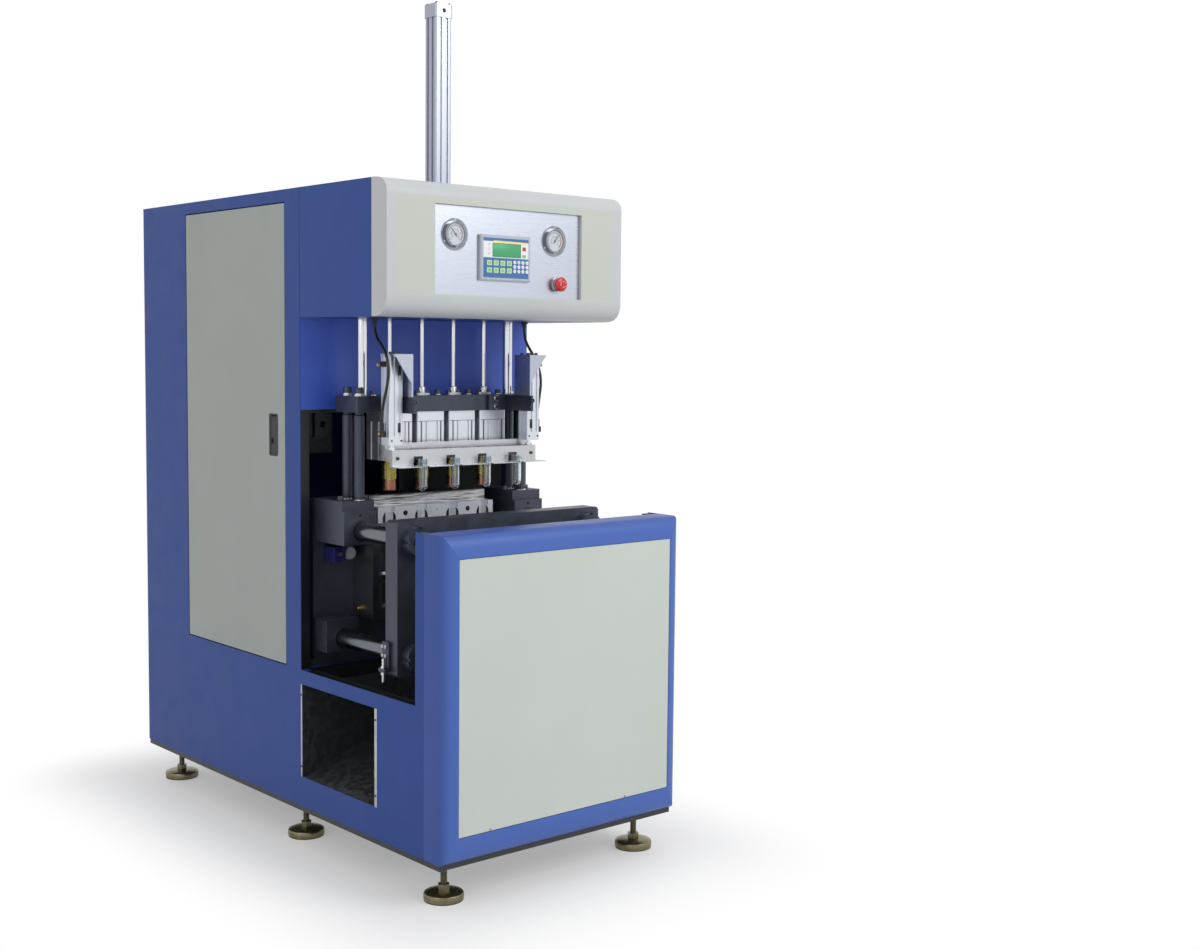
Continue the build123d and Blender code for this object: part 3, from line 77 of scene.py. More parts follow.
# Node trees
def linear(colour: str, gain: float = 1.0) -> tuple[float, float, float, float]:
    """Turns an sRGB hex colour to linear light.

    Args:
        colour: six hex digits after a hash.
        gain: factor on the linear value, for a lighter or darker shade of the same colour.

    Returns:
        Linear red, green, blue and an alpha of one.
    """
    parts = [int(colour[i:i + 2], 16) / 255 for i in (1, 3, 5)]
    flat = [c / 12.92 if c <= 0.04045 else ((c + 0.055) / 1.055) ** 2.4 for c in parts]
    return tuple(min(1.0, c * gain) for c in flat) + (1.0,)


class Tree:
    """A node tree under construction."""

    def __init__(self, nodes: bpy.types.NodeTree) -> None:
        """Starts on an emptied tree."""
        self.tree = nodes
        nodes.nodes.clear()

    def feed(self, socket: Socket, value: object) -> None:
        """Gives a socket a value, or a link from another socket."""
        if isinstance(value, Socket):
            self.tree.links.new(value, socket)
        else:
            socket.default_value = value

    def add(self, kind: str, settings: dict | None = None, inputs: dict | None = None) -> bpy.types.Node:
        """Adds one node.

        Args:
            kind: the node's type name.
            settings: attribute names and their values.
            inputs: socket names or numbers, each with a value or with the output socket to link.

        Returns:
            The new node.
        """
        node = self.tree.nodes.new(kind)
        for name, value in (settings or {}).items():
            setattr(node, name, value)
        for name, value in (inputs or {}).items():
            self.feed(node.inputs[name], value)
        return node

    def maths(self, operation: str, a: object, b: object = 0.0) -> Socket:
        """Result of one calculation on sockets or numbers."""
        return self.add("ShaderNodeMath", {"operation": operation}, {0: a, 1: b}).outputs[0]

    def vector(self, operation: str, a: object, b: Point = (0, 0, 0)) -> bpy.types.NodeOutputs:
        """Outputs of one calculation on vectors."""
        return self.add("ShaderNodeVectorMath", {"operation": operation}, {0: a, 1: b}).outputs

    def span(self, value: Socket, source: Pair, target: Pair, smooth: bool = False) -> Socket:
        """Maps a value from one range onto another, evenly or with soft ends."""
        style = {"interpolation_type": "SMOOTHSTEP"} if smooth else {}
        return self.add("ShaderNodeMapRange", style, {
            "Value": value, "From Min": source[0], "From Max": source[1],
            "To Min": target[0], "To Max": target[1]}).outputs["Result"]


class Coat(Tree):
    """A material under construction, with its main shader."""

    def __init__(self, name: str, colour: str) -> None:
        """Starts a material of one plain colour."""
        self.material = bpy.data.materials.new(name)
        self.material.use_nodes = True
        super().__init__(self.material.node_tree)
        self.shader = self.add("ShaderNodeBsdfPrincipled", inputs={"Base Color": linear(colour)})

    def place(self) -> Socket:
        """Place on the object, in metres."""
        return self.add("ShaderNodeTexCoord").outputs["Object"]

    def axes(self) -> bpy.types.NodeOutputs:
        """X, Y and Z of that place."""
        return self.add("ShaderNodeSeparateXYZ", inputs={"Vector": self.place()}).outputs

    def put(self, name: str, value: object) -> None:
        """Gives one of the shader's own sockets a value or a link."""
        self.feed(self.shader.inputs[name], value)

    def mix(self, factor: Socket, low: object, high: object) -> Socket:
        """Blends two colours by a factor."""
        return self.add("ShaderNodeMix", {"data_type": "RGBA"}, {0: factor, 6: low, 7: high}).outputs[2]

    def close(self, surface: Socket | None = None) -> bpy.types.Material:
        """Ends the tree with its output, from the shader or from another surface."""
        self.add("ShaderNodeOutputMaterial", inputs={"Surface": surface or self.shader.outputs["BSDF"]})
        return self.material


# Patterns
class Pattern:
    """Something that differs from place to place on a surface."""

    def factor(self, coat: Coat) -> Socket:
        """The pattern as a number at each place."""
        raise NotImplementedError


@dataclass(frozen=True)
class Grain(Pattern):
    """Soft noise.

    Attributes:
        size_mm: width of one blotch.
        stretch: how many times longer a blotch is along X, Y and Z.
        detail: how much finer structure it holds.
        steep: range onto which the useful middle of the noise is mapped, if it is.
    """

    size_mm: float
    stretch: Point = (1, 1, 1)
    detail: float = 2.0
    steep: Pair | None = None

    def factor(self, coat: Coat) -> Socket:
        """The noise, steeper where that is asked for."""
        scale = tuple(1 / times for times in self.stretch)
        mapping = coat.add("ShaderNodeMapping", inputs={"Vector": coat.place(), "Scale": scale})
        noise = coat.add("ShaderNodeTexNoise", inputs={
            "Vector": mapping.outputs["Vector"], "Scale": 1000 / self.size_mm, "Detail": self.detail,
            "Roughness": 0.55}).outputs["Fac"]
        return coat.span(noise, NOISE_MIDDLE, self.steep) if self.steep else noise


@dataclass(frozen=True)
class Waves(Pattern):
    """Regular marks: uneven rings of a cutter, or straight rows one above the other.

    Attributes:
        size_mm: length of one wave over two pi.
        rings: whether they are rings.
    """

    size_mm: float
    rings: bool = True

    def factor(self, coat: Coat) -> Socket:
        """The waves; the texture turns through twenty radians in each of its units."""
        rows = {"bands_direction": "Z"}
        style = {"wave_type": "RINGS", "rings_direction": "SPHERICAL"} if self.rings else rows
        return coat.add("ShaderNodeTexWave", style, {
            "Vector": coat.place(), "Scale": 1000 / self.size_mm / 20,
            "Distortion": 1.5 if self.rings else 0.0}).outputs["Fac"]


@dataclass(frozen=True)
class Crystals(Pattern):
    """Flat crystals, each with its own grey."""

    size_mm: float

    def factor(self, coat: Coat) -> Socket:
        """The grey of each crystal."""
        cells = coat.add("ShaderNodeTexVoronoi", inputs={
            "Vector": coat.place(), "Scale": 1000 / self.size_mm})
        return coat.add("ShaderNodeRGBToBW", inputs={"Color": cells.outputs["Color"]}).outputs["Val"]


@dataclass(frozen=True)
class Zone(Pattern):
    """Box in the part's own frame, by its lowest and highest corner."""

    low: Point
    high: Point

    def factor(self, coat: Coat) -> Socket:
        """One inside the box and zero outside."""
        inside = 1.0
        for value, low, high in zip(coat.axes(), self.low, self.high):
            for test, limit in (("GREATER_THAN", low), ("LESS_THAN", high)):
                inside = coat.maths("MULTIPLY", inside, coat.maths(test, value, limit))
        return inside


@dataclass(frozen=True)
class Fade(Pattern):
    """Soft change from zero to one along Y."""

    start: float
    end: float

    def factor(self, coat: Coat) -> Socket:
        """How far a place is on the way."""
        return coat.span(coat.axes()["Y"], (self.start, self.end), (0.0, 1.0), smooth=True)


# Finishes
@dataclass(frozen=True)
class Colour:
    """A colour that may drift between a darker and a lighter shade.

    Attributes:
        code: six hex digits after a hash.
        shades: darkest and lightest factor on it.
        tone: pattern between the two; none gives an even colour.
        where: pattern of where it lies, for one that covers only part of a surface.
    """

    code: str
    shades: Pair = (1, 1)
    tone: Pattern | None = None
    where: Pattern | None = None

    def paint(self, coat: Coat) -> object:
        """The colour as a plain value or a socket."""
        if self.tone is None:
            return linear(self.code)
        return coat.mix(self.tone.factor(coat), *(linear(self.code, shade) for shade in self.shades))


@dataclass(frozen=True)
class Finish:
    """A finish of the machine; its material is made once and shared.

    Attributes:
        name: the material's name.
        slot: slot of the record that it would fill; not used.
        colours: the ground colour, then those that lie over it.
        sheen: lowest and highest roughness.
        haze: pattern between the two.
        skin: pattern of the relief; none gives a smooth surface.
        depth_mm: height of that relief.
        sockets: constants on the shader's own sockets.
    """

    name: str
    slot: str
    colours: tuple[Colour, ...]
    sheen: Pair
    haze: Pattern
    skin: Pattern | None = None
    depth_mm: float = 0.0
    sockets: tuple[tuple[str, object], ...] = ()

    def material(self) -> bpy.types.Material:
        """Returns the finish as a material, built on its first use."""
        found = bpy.data.materials.get(self.name)
        if found:
            return found
        ground, *others = self.colours
        coat = Coat(self.name, ground.code)
        painted = ground.paint(coat)
        for colour in others:
            painted = coat.mix(colour.where.factor(coat), painted, colour.paint(coat))
        coat.put("Base Color", painted)
        coat.put("Roughness", coat.span(self.haze.factor(coat), NOISE_MIDDLE, self.sheen))
        if self.skin:
            bump = coat.add("ShaderNodeBump", inputs={
                "Height": self.skin.factor(coat), "Distance": self.depth_mm / 1000, "Strength": 1.0})
            coat.put("Normal", bump.outputs["Normal"])
        for name, value in self.sockets:
            coat.put(name, value)
        return coat.close()


def about(roughness: float, less: float, more: float) -> Pair:
    """Range of roughness round a middle value."""
    return (roughness - less, roughness + more)


def powder(name: str, slot: str, code: str, roughness: float, peel: Pair = (3.0, 0.012), gloss: float = 0.5,
           over: tuple[Colour, ...] = ()) -> Finish:
    """Baked powder coat: a faint orange peel, by width and height, and a sheen that drifts over the sheet."""
    ground = Colour(code, (0.95, 1.05), Grain(260))
    return Finish(name, slot, (ground, *over), about(roughness, 0.04, 0.05), Grain(60, detail=4),
                  Grain(peel[0]), peel[1], (("Specular IOR Level", gloss),))


def plastic(name: str, slot: str, code: str, roughness: float = 0.5, depth_mm: float = 0.02) -> Finish:
    """Moulded or printed plastic with a fine skin."""
    ground = Colour(code, (0.94, 1.06), Grain(30))
    return Finish(name, slot, (ground,), about(roughness, 0.04, 0.05), Grain(9), Grain(0.8), depth_mm)


def print_film(name: str, slot: str, code: str) -> Finish:
    """Printed key film, almost smooth."""
    return plastic(name, slot, code, 0.36, 0.006)


def chrome(name: str, slot: str, code: str, roughness: float = 0.1) -> Finish:
    """Ground and polished metal: a near mirror with rings so fine that they only soften it."""
    return Finish(name, slot, (Colour(code),), about(roughness, 0.03, 0.05), Grain(12, detail=4), Grain(0.8),
                  0.001, (("Metallic", 1.0),))


def milled(name: str, slot: str, code: str, roughness: float = 0.3, metallic: float = 1.0) -> Finish:
    """Face milled metal: tool marks 12 mm wide that catch the light in bands."""
    ground = Colour(code, (0.92, 1.08), Grain(40))
    return Finish(name, slot, (ground,), about(roughness, 0.06, 0.08), Grain(25, detail=4), Waves(2.0), 0.004,
                  (("Metallic", metallic),))


def black_steel(name: str, code: str, roughness: float = 0.4) -> Finish:
    """Blackened machine steel: an oily dark skin with faint cutter lines and greyer worn patches."""
    patches = Grain(35, detail=5)
    ground = Colour(code, (0.8, 1.35), patches)
    return Finish(name, "black_steel", (ground,), about(roughness, 0.08, 0.1), patches,
                  Grain(1.5, (40, 1, 1)), 0.012, (("Metallic", 0.45),))


def brushed(name: str, code: str, stretch: Point, shades: Pair, depth_mm: float) -> Finish:
    """Brushed stainless steel, its lines drawn 0.5 mm wide so that they show."""
    lines = Grain(0.5, stretch, 3)
    return Finish(name, "stainless", (Colour(code, shades, lines),), about(0.3, 0.07, 0.08), lines, lines,
                  depth_mm, (("Metallic", 1.0),))


def extruded(name: str, code: str) -> Finish:
    """Clear anodised extrusion: satin, with upright die lines drawn 0.7 mm wide so that they show."""
    lines = Grain(0.7, (1, 1, 80))
    ground = Colour(code, (0.9, 1.04), lines)
    return Finish(name, "aluminium", (ground,), about(0.34, 0.05, 0.06), lines, lines, 0.006,
                  (("Metallic", 0.85),))


def passivated(name: str, slot: str, codes: tuple[str, str, str], patch_mm: float) -> Finish:
    """Yellow passivated plating: patches of three colours that drift into one another."""
    first = Colour(codes[1], where=Grain(patch_mm, detail=3, steep=(0, 1)))
    second = Colour(codes[2], where=Grain(1.7 * patch_mm, (1, 1, 0.5), steep=(-0.3, 0.8)))
    return Finish(name, slot, (Colour(codes[0]), first, second), about(0.3, 0.06, 0.08), Grain(6),
                  sockets=(("Metallic", 0.9),))


def galvanised(name: str, code: str) -> Finish:
    """Hot dip galvanised sheet, with its flat crystals of zinc."""
    spangle = Crystals(14.0)
    return Finish(name, "galvanised", (Colour(code, (0.82, 1.12), spangle),), (0.34, 0.48), spangle,
                  sockets=(("Metallic", 0.8),))


def painted_bay_shade(wall_y: float) -> tuple[Colour, ...]:
    """Painted shade: a near-black colour over the inner faces of the machine's bay, up to its rear wall,
    where the bay lies in shade.
    """
    bay = Zone((-0.3992, -NO_LIMIT, -NO_LIMIT), (0.3992, wall_y, 1.236))
    return (Colour("#17181D", where=bay),)


FINE_PEEL = (6.0, 0.006)
PLATE_FIELD = Zone((-0.368, -NO_LIMIT, 1.545), (0.368, -0.5695, 1.803))
NOZZLE_FOOT = Zone((-NO_LIMIT, -NO_LIMIT, -NO_LIMIT), (NO_LIMIT, NO_LIMIT, 1.037))
STREAKS = Grain(7, (1, 1, 12), 3, (0, 1))
BAR_BANDS = Grain(4, (18, 1, 1), 3)
BLUE = powder("blue_powder_coat", "blue_paint", "#2F4B92", 0.4, FINE_PEEL, 0.15)
# Painted shade on the side sheets: a near-black colour over their faces inside the bay.
SIDE_BLUE = powder("blue_powder_coat_painted_bay_shade", "blue_paint", "#2F4B92", 0.4, FINE_PEEL, 0.15, painted_bay_shade(-0.165))
# Painted light and shade: the bay's wall is a lighter copy of the blue coat, painted light that brightens the
# wall under the head, with painted shade over the bay's inner faces below.
WALL_BLUE = powder("blue_powder_coat_bay_painted_light_and_shade", "blue_paint", "#3B5CC2", 0.36, FINE_PEEL, over=painted_bay_shade(-0.13))
# Painted highlight: a lighter blue covers the cover's front face and fades out back across its bevel.
COVER_BLUE = powder("blue_powder_coat_painted_bevel_highlight", "blue_paint", "#33509A", 0.38, FINE_PEEL, 0.3,
                    (Colour("#4766B2", where=Fade(-0.7965, -0.8325)),))
FASCIA = powder("fascia_satin_coat", "head_paint", "#C0C3C5", 0.42, gloss=0.35,
                over=(Colour("#BFC5BD", where=PLATE_FIELD),))
DOOR_GREY = powder("grey_green_powder_coat", "door_paint", "#9CA39F", 0.42)
PANEL_GREY = powder("pale_grey_powder_coat", "cream_paint", "#C3CAC4", 0.4)
FRAME_BLACK = powder("black_frame_paint", "black_paint", "#25272C", 0.45)
TANK_GREY = powder("tank_enamel", "tank_paint", "#8C9096", 0.35)
STEEL = black_steel("blackened_steel", "#3E4350")
HARDENED = black_steel("hardened_dark_steel", "#2B2E37", 0.28)
STAINLESS = brushed("brushed_stainless_across", "#BCC1CD", (200, 1, 1), (0.98, 1.02), 0.003)
STAINLESS_UP = brushed("brushed_stainless_upright", "#B4B9C8", (1, 1, 200), (0.9, 1.1), 0.01)
GROUND_STEEL = milled("milled_steel", "machined_steel", "#C0C2C6")
BRIGHT_STEEL = milled("bright_milled_steel", "machined_steel", "#DCE0E8", 0.42, 0.45)
MOULD_METAL = milled("milled_mould_aluminium", "mould_aluminium", "#85878D", 0.34)
CHROME = chrome("ground_chrome", "chrome", "#DADCE0")
TIE_STEEL = chrome("ground_tie_bar_steel", "chrome", "#6E7279", 0.2)
GAUGE_CHROME = chrome("bezel_chrome", "chrome", "#989CA4")
FASTENER = chrome("zinc_plated_fastener", "machined_steel", "#9EA2A8", 0.3)
BRIGHT_FASTENER = chrome("bright_steel_fastener", "machined_steel", "#C9CBCF", 0.22)
EXTRUSION = extruded("anodised_extrusion", "#D8DCE4")
GREY_EXTRUSION = extruded("grey_anodised_extrusion", "#A6ABB6")
NOZZLE_BRASS = passivated("passivated_brass", "brass", ("#B9A25A", "#8F8B45", "#C79B78"), 14)
ZINC = passivated("yellow_zinc_plate", "zinc", ("#877A5E", "#6B664C", "#7A7B6E"), 20)
NOZZLE_TWO_TONE = Finish("two_tone_nozzle_brass", "brass", (
    Colour("#6E7A32"), Colour("#C2A968", where=STREAKS),
    Colour("#A9755F", (0.7, 1.15), STREAKS, NOZZLE_FOOT)), about(0.26, 0.05, 0.08), Grain(5),
    sockets=(("Metallic", 0.9),))
# Painted reflection: a near-white, barely metallic colour with dark lengthwise bands stands for what the
# polished bar reflects.
POLISHED = Finish("polished_steel_bar_painted_reflection", "machined_steel", (
    Colour("#FCFDFF", (0.22, 1.15), Grain(4, (18, 1, 1), 3, (-0.5, 2.0))),), about(0.2, 0.05, 0.1), BAR_BANDS,
    Grain(0.6, (60, 1, 1)), 0.006, (("Metallic", 0.2),))
GALVANISED = galvanised("galvanised_sheet", "#B4B7BA")
# Painted shade: the chute is a darker copy of the galvanised sheet, for the shade inside it.
CHUTE_SHADED_GREY = galvanised("galvanised_sheet_painted_shade", "#5A5C5F")
VALVE_BLUE = plastic("blue_valve_body", "blue_paint", "#1C1F5C", 0.35)
CASE_PALE = plastic("pale_case_plastic", "grey_plastic", "#AEB7C4", 0.45)
BLACK_PLASTIC = plastic("black_nylon", "black_plastic", "#1B1C1F")
GREY_PLASTIC = plastic("grey_panel_plastic", "grey_plastic", "#8E949C")
RED_PLASTIC = plastic("red_button_plastic", "red_plastic", "#C41E1E", 0.25, 0.004)
NEEDLE_BLACK = plastic("needle_lacquer", "needle_black", "#141414", 0.4)
HOSE_BLACK = plastic("black_air_hose", "hose", "#17181B", 0.36, 0.008)
SEAL_RUBBER = plastic("black_nitrile_rubber", "black_plastic", "#141517", 0.6)
SLOT_GREY = plastic("shadowed_slot_anodising", "aluminium", "#4A4F59")
DIAL_WHITE = plastic("dial_enamel", "head_paint", "#CDD4DE", 0.35, 0.004)
DIAL_RED = plastic("red_print", "red_plastic", "#B8323A", 0.4, 0.004)
PRINT_BLACK = plastic("black_print", "black_plastic", "#202226", 0.4, 0.004)
INK_BLUE = plastic("blue_print", "membrane", "#5F7FA8", 0.4, 0.004)
KEY_FILM = plastic("blue_key_film", "membrane", "#3F6CA2", 0.34, 0.006)
FILM_WHITE = print_film("white_key_film", "grey_plastic", "#E4E8EC")
FILM_YELLOW = print_film("yellow_key_film", "grey_plastic", "#E8DF9C")
KEY_GREEN = print_film("green_key_film", "membrane", "#7DBB6A")
KEY_PALE = print_film("pale_key_film", "membrane", "#BFE0B4")
SCREEN_GREEN = Finish("liquid_crystal_screen", "membrane", (
    Colour("#3F9A66", (0.93, 1.05), Waves(1.1, False)),), (0.3, 0.4), Grain(14),
    sockets=(("Emission Color", linear("#3F9A66")), ("Emission Strength", 0.12)))
PREFORM_CLEAR = Finish("clear_preform_plastic", "clear_plastic", (Colour("#E6EEF2"),), (0.04, 0.1), Grain(8),
                       Grain(9), 0.04, (("Transmission Weight", 1.0), ("IOR", 1.57)))
GLASS = Finish("gauge_glass", "clear_plastic", (Colour("#F4F6F8"),), (0.02, 0.06), Grain(20),
               sockets=(("Alpha", 0.12),))

NODE_FINISHES: tuple[tuple[Finish, str], ...] = (
    (FRAME_BLACK, "base_frame upper_frame"), (ZINC, "levelling_feet"),
    (SIDE_BLUE, "left_side_sheet right_side_sheet"), (BLUE, "rear_sheet cabinet_roof head_housing"),
    (WALL_BLUE, "front_wall"), (CHUTE_SHADED_GREY, "chute"), (DOOR_GREY, "left_door right_door"),
    (BLACK_PLASTIC, "left_door_latch right_door_latch hose_fittings"), (COVER_BLUE, "lower_cover"),
    (PANEL_GREY, "cover_panel"), (FASCIA, "head_cover"), (STAINLESS, "control_plate"),
    (GAUGE_CHROME, "gauge_cases"), (NEEDLE_BLACK, "left_gauge_needle right_gauge_needle"),
    (CASE_PALE, "panel_case"), (KEY_FILM, "key_membrane"), (GREY_PLASTIC, "stop_collar"),
    (RED_PLASTIC, "stop_button"), (GREY_EXTRUSION, "stretch_cylinder"),
    (CHROME, "stretch_ram stretch_rods guide_rods loader_rods clamp_ram"),
    (STEEL, "stretch_crossbar cylinder_bar bar_columns rod_collars rear_platen bearing_blocks tie_nuts "
            "front_platen crosshead"),
    (EXTRUSION, "blow_cylinders loader_cylinders"), (STAINLESS_UP, "loader_brackets"),
    (GROUND_STEEL, "loader_beam lock_bar"), (PREFORM_CLEAR, "preforms"), (TIE_STEEL, "tie_bars"),
    (MOULD_METAL, "front_mould rear_mould"), (BRIGHT_STEEL, "neck_plate"),
    (TANK_GREY, "clamp_cylinder air_tank"), (GALVANISED, "electric_board"),
    (NOZZLE_TWO_TONE, "blow_nozzle_1 blow_nozzle_2 blow_nozzle_3 blow_nozzle_4"),
)


# Mesh forms
def new_object(name: str, data: bpy.types.ID) -> bpy.types.Object:
    """Object at the origin, linked to the scene."""
    item = bpy.data.objects.new(name, data)
    bpy.context.scene.collection.objects.link(item)
    return item


def settle(item: bpy.types.Object, finish: Finish, body: str) -> bpy.types.Object:
    """Gives a finished mesh object its shading, finish and body.

    Args:
        item: mesh object at the origin.
        finish: what it is coated with or made of.
        body: body that it rides on.

    Returns:
        The same object.
    """
    mesh = item.data
    mesh.shade_smooth()
    mesh.set_sharp_from_angle(angle=SHARP)
    if not mesh.materials:
        mesh.materials.append(finish.material())
    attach(item, body)
    LOG.info("%s: %d faces on %s", item.name, len(mesh.polygons), body)
    return item


def on_axis(axis: Axis, across: float, other: float, along: float) -> Point:
    """Point from its two cross coordinates, X before Y before Z, and its place along an axis."""
    point = [across, other]
    point.insert(axis.value, along)
    return tuple(point)


def polygon(centre: Pair, radius: float, sides: int) -> list[Pair]:
    """Corners of a regular polygon."""
    angles = [2 * pi * k / sides for k in range(sides)]
    return [(centre[0] + radius * cos(a), centre[1] + radius * sin(a)) for a in angles]


def rounded_outline(half_a: float, half_b: float, radius: float, centre: Pair = (0, 0)) -> list[Pair]:
    """Corners of a rounded rectangle.

    Args:
        half_a: half size in the first cross direction.
        half_b: half size in the second one.
        radius: radius of its corners.
        centre: its middle.

    Returns:
        The outline's points, in order.
    """
    points, steps = [], 6
    for quarter, (side_a, side_b) in enumerate(((1, 1), (-1, 1), (-1, -1), (1, -1))):
        for step in range(steps + 1):
            angle = (quarter + step / steps) * pi / 2
            points.append((centre[0] + side_a * (half_a - radius) + radius * cos(angle),
                           centre[1] + side_b * (half_b - radius) + radius * sin(angle)))
    return points


@dataclass
class Piece:
    """One visible piece, gathered from simple forms before it becomes an object."""

    name: str
    finish: Finish
    body: str = MACHINE
    mesh: bmesh.types.BMesh = field(default_factory=bmesh.new)

    def join(self, part: bmesh.types.BMesh, round_off: float = 0.0) -> None:
        """Adds a finished form, with its edges rounded off, and frees it."""
        if round_off:
            bmesh.ops.bevel(part, geom=part.edges[:], offset=round_off, segments=2, affect="EDGES",
                            profile=0.5)
        bmesh.ops.remove_doubles(part, verts=part.verts, dist=1e-6)
        bmesh.ops.recalc_face_normals(part, faces=part.faces)
        holder = bpy.data.meshes.new("form")
        part.to_mesh(holder)
        part.free()
        self.mesh.from_mesh(holder)
        bpy.data.meshes.remove(holder)

    def box(self, corner: Point, other: Point, round_off: float = 0.0) -> None:
        """Block between two opposite corners, with rounded edges."""
        part = bmesh.new()
        size = [abs(b - a) for a, b in zip(corner, other)]
        middle = [(a + b) / 2 for a, b in zip(corner, other)]
        place = Matrix.Translation(middle) @ Matrix.Diagonal((*size, 1))
        bmesh.ops.create_cube(part, size=1, matrix=place)
        self.join(part, round_off)

    def loft(self, rings: Sequence[Sequence[Point]], closed: bool = False, round_off: float = 0.0) -> None:
        """Skin over a row of rings.

        Args:
            rings: rings with the same number of points; one point makes a tip, two make a strip.
            closed: joins the last ring to the first; otherwise the ends get caps.
            round_off: radius taken off every edge.
        """
        part = bmesh.new()
        loops = [[part.verts.new(point) for point in ring] for ring in rings]
        count = max(len(loop) for loop in loops)
        pairs = list(zip(loops, loops[1:] + loops[:1] if closed else loops[1:]))
        for first, second in pairs:
            for step in range(count if count > 2 else 1):
                after = (step + 1) % count
                corners = [first[step % len(first)], first[after % len(first)],
                           second[after % len(second)], second[step % len(second)]]
                corners = list(dict.fromkeys(corners))
                if len(corners) > 2:
                    part.faces.new(corners)
        for loop in () if closed else (loops[0], loops[-1]):
            if len(loop) > 1:
                part.faces.new(loop)
        self.join(part, round_off)

    def turned(self, profile: Sequence[Pair], centre: Pair, axis: Axis = Axis.Z, facets: int = 40,
               closed: bool = False) -> None:
        """Body of revolution.

        Args:
            profile: radius and place along the axis of each point.
            centre: the axis's two cross coordinates, X before Y before Z.
            axis: direction of the axis.
            facets: segments round it.
            closed: joins the last point to the first, for a ring.
        """
        rings = [polygon(centre, radius, facets if radius else 1) for radius, _ in profile]
        self.loft([[on_axis(axis, a, b, along) for a, b in ring] for ring, (_, along) in zip(rings, profile)],
                  closed)

    def prism(self, outline: Sequence[Pair], axis: Axis, start: float, end: float,
              round_off: float = 0.0) -> None:
        """Straight prism of an outline, given by the two cross coordinates of each corner."""
        self.loft([[on_axis(axis, a, b, at) for a, b in outline] for at in (start, end)], round_off=round_off)

    def rim(self, outer: Sequence[Pair], inner: Sequence[Pair], axis: Axis, start: float, end: float) -> None:
        """Flat ring between two outlines that have the same number of points."""
        lines = ((outer, start), (outer, end), (inner, end), (inner, start))
        self.loft([[on_axis(axis, a, b, at) for a, b in line] for line, at in lines], closed=True)

    def band(self, centre: Pair, radii: Pair, turn: Pair, axis: Axis, start: float, end: float) -> None:
        """Part of a flat ring.

        Args:
            centre: the ring's middle, as the two cross coordinates.
            radii: its inner and outer radius.
            turn: angles in degrees where it begins and ends, from the first cross direction.
            axis: direction of the ring's axis.
            start: where it begins along the axis.
            end: where it ends along the axis.
        """
        steps = max(6, int(abs(turn[0] - turn[1]) / 6))
        angles = [radians(turn[0] + (turn[1] - turn[0]) * k / steps) for k in range(steps + 1)]
        outline = [(centre[0] + radius * cos(a), centre[1] + radius * sin(a))
                   for radius, line in ((radii[1], angles), (radii[0], angles[::-1])) for a in line]
        self.prism(outline, axis, start, end)

    def build(self) -> bpy.types.Object:
        """Turns what was gathered into an object on its body, and returns it."""
        data = bpy.data.meshes.new(self.name)
        self.mesh.to_mesh(data)
        self.mesh.free()
        return settle(new_object(self.name, data), self.finish, self.body)


def revolve(name: str, finish: Finish, profile: Sequence[Pair], centres: Iterable[Pair], axis: Axis = Axis.Z,
            facets: int = 40, closed: bool = True, body: str = MACHINE) -> None:
    """Piece with one turned form, a ring unless it isn't closed, on several centres."""
    piece = Piece(name, finish, body)
    for centre in centres:
        piece.turned(profile, centre, axis, facets, closed)
    piece.build()


def washer(inner: float, outer: float, low: float, high: float) -> list[Pair]:
    """Profile of a flat ring."""
    return [(inner, low), (outer, low), (outer, high), (inner, high)]


def facing(way: Point, spots: Iterable[Point]) -> list[Place]:
    """Places that all look the same way."""
    return [(spot, way) for spot in spots]


def mirrored(spots: Iterable[Point]) -> list[Point]:
    """Places on the right, after their mirror images on the left."""
    right = list(spots)
    return [(-x, y, z) for x, y, z in right] + right


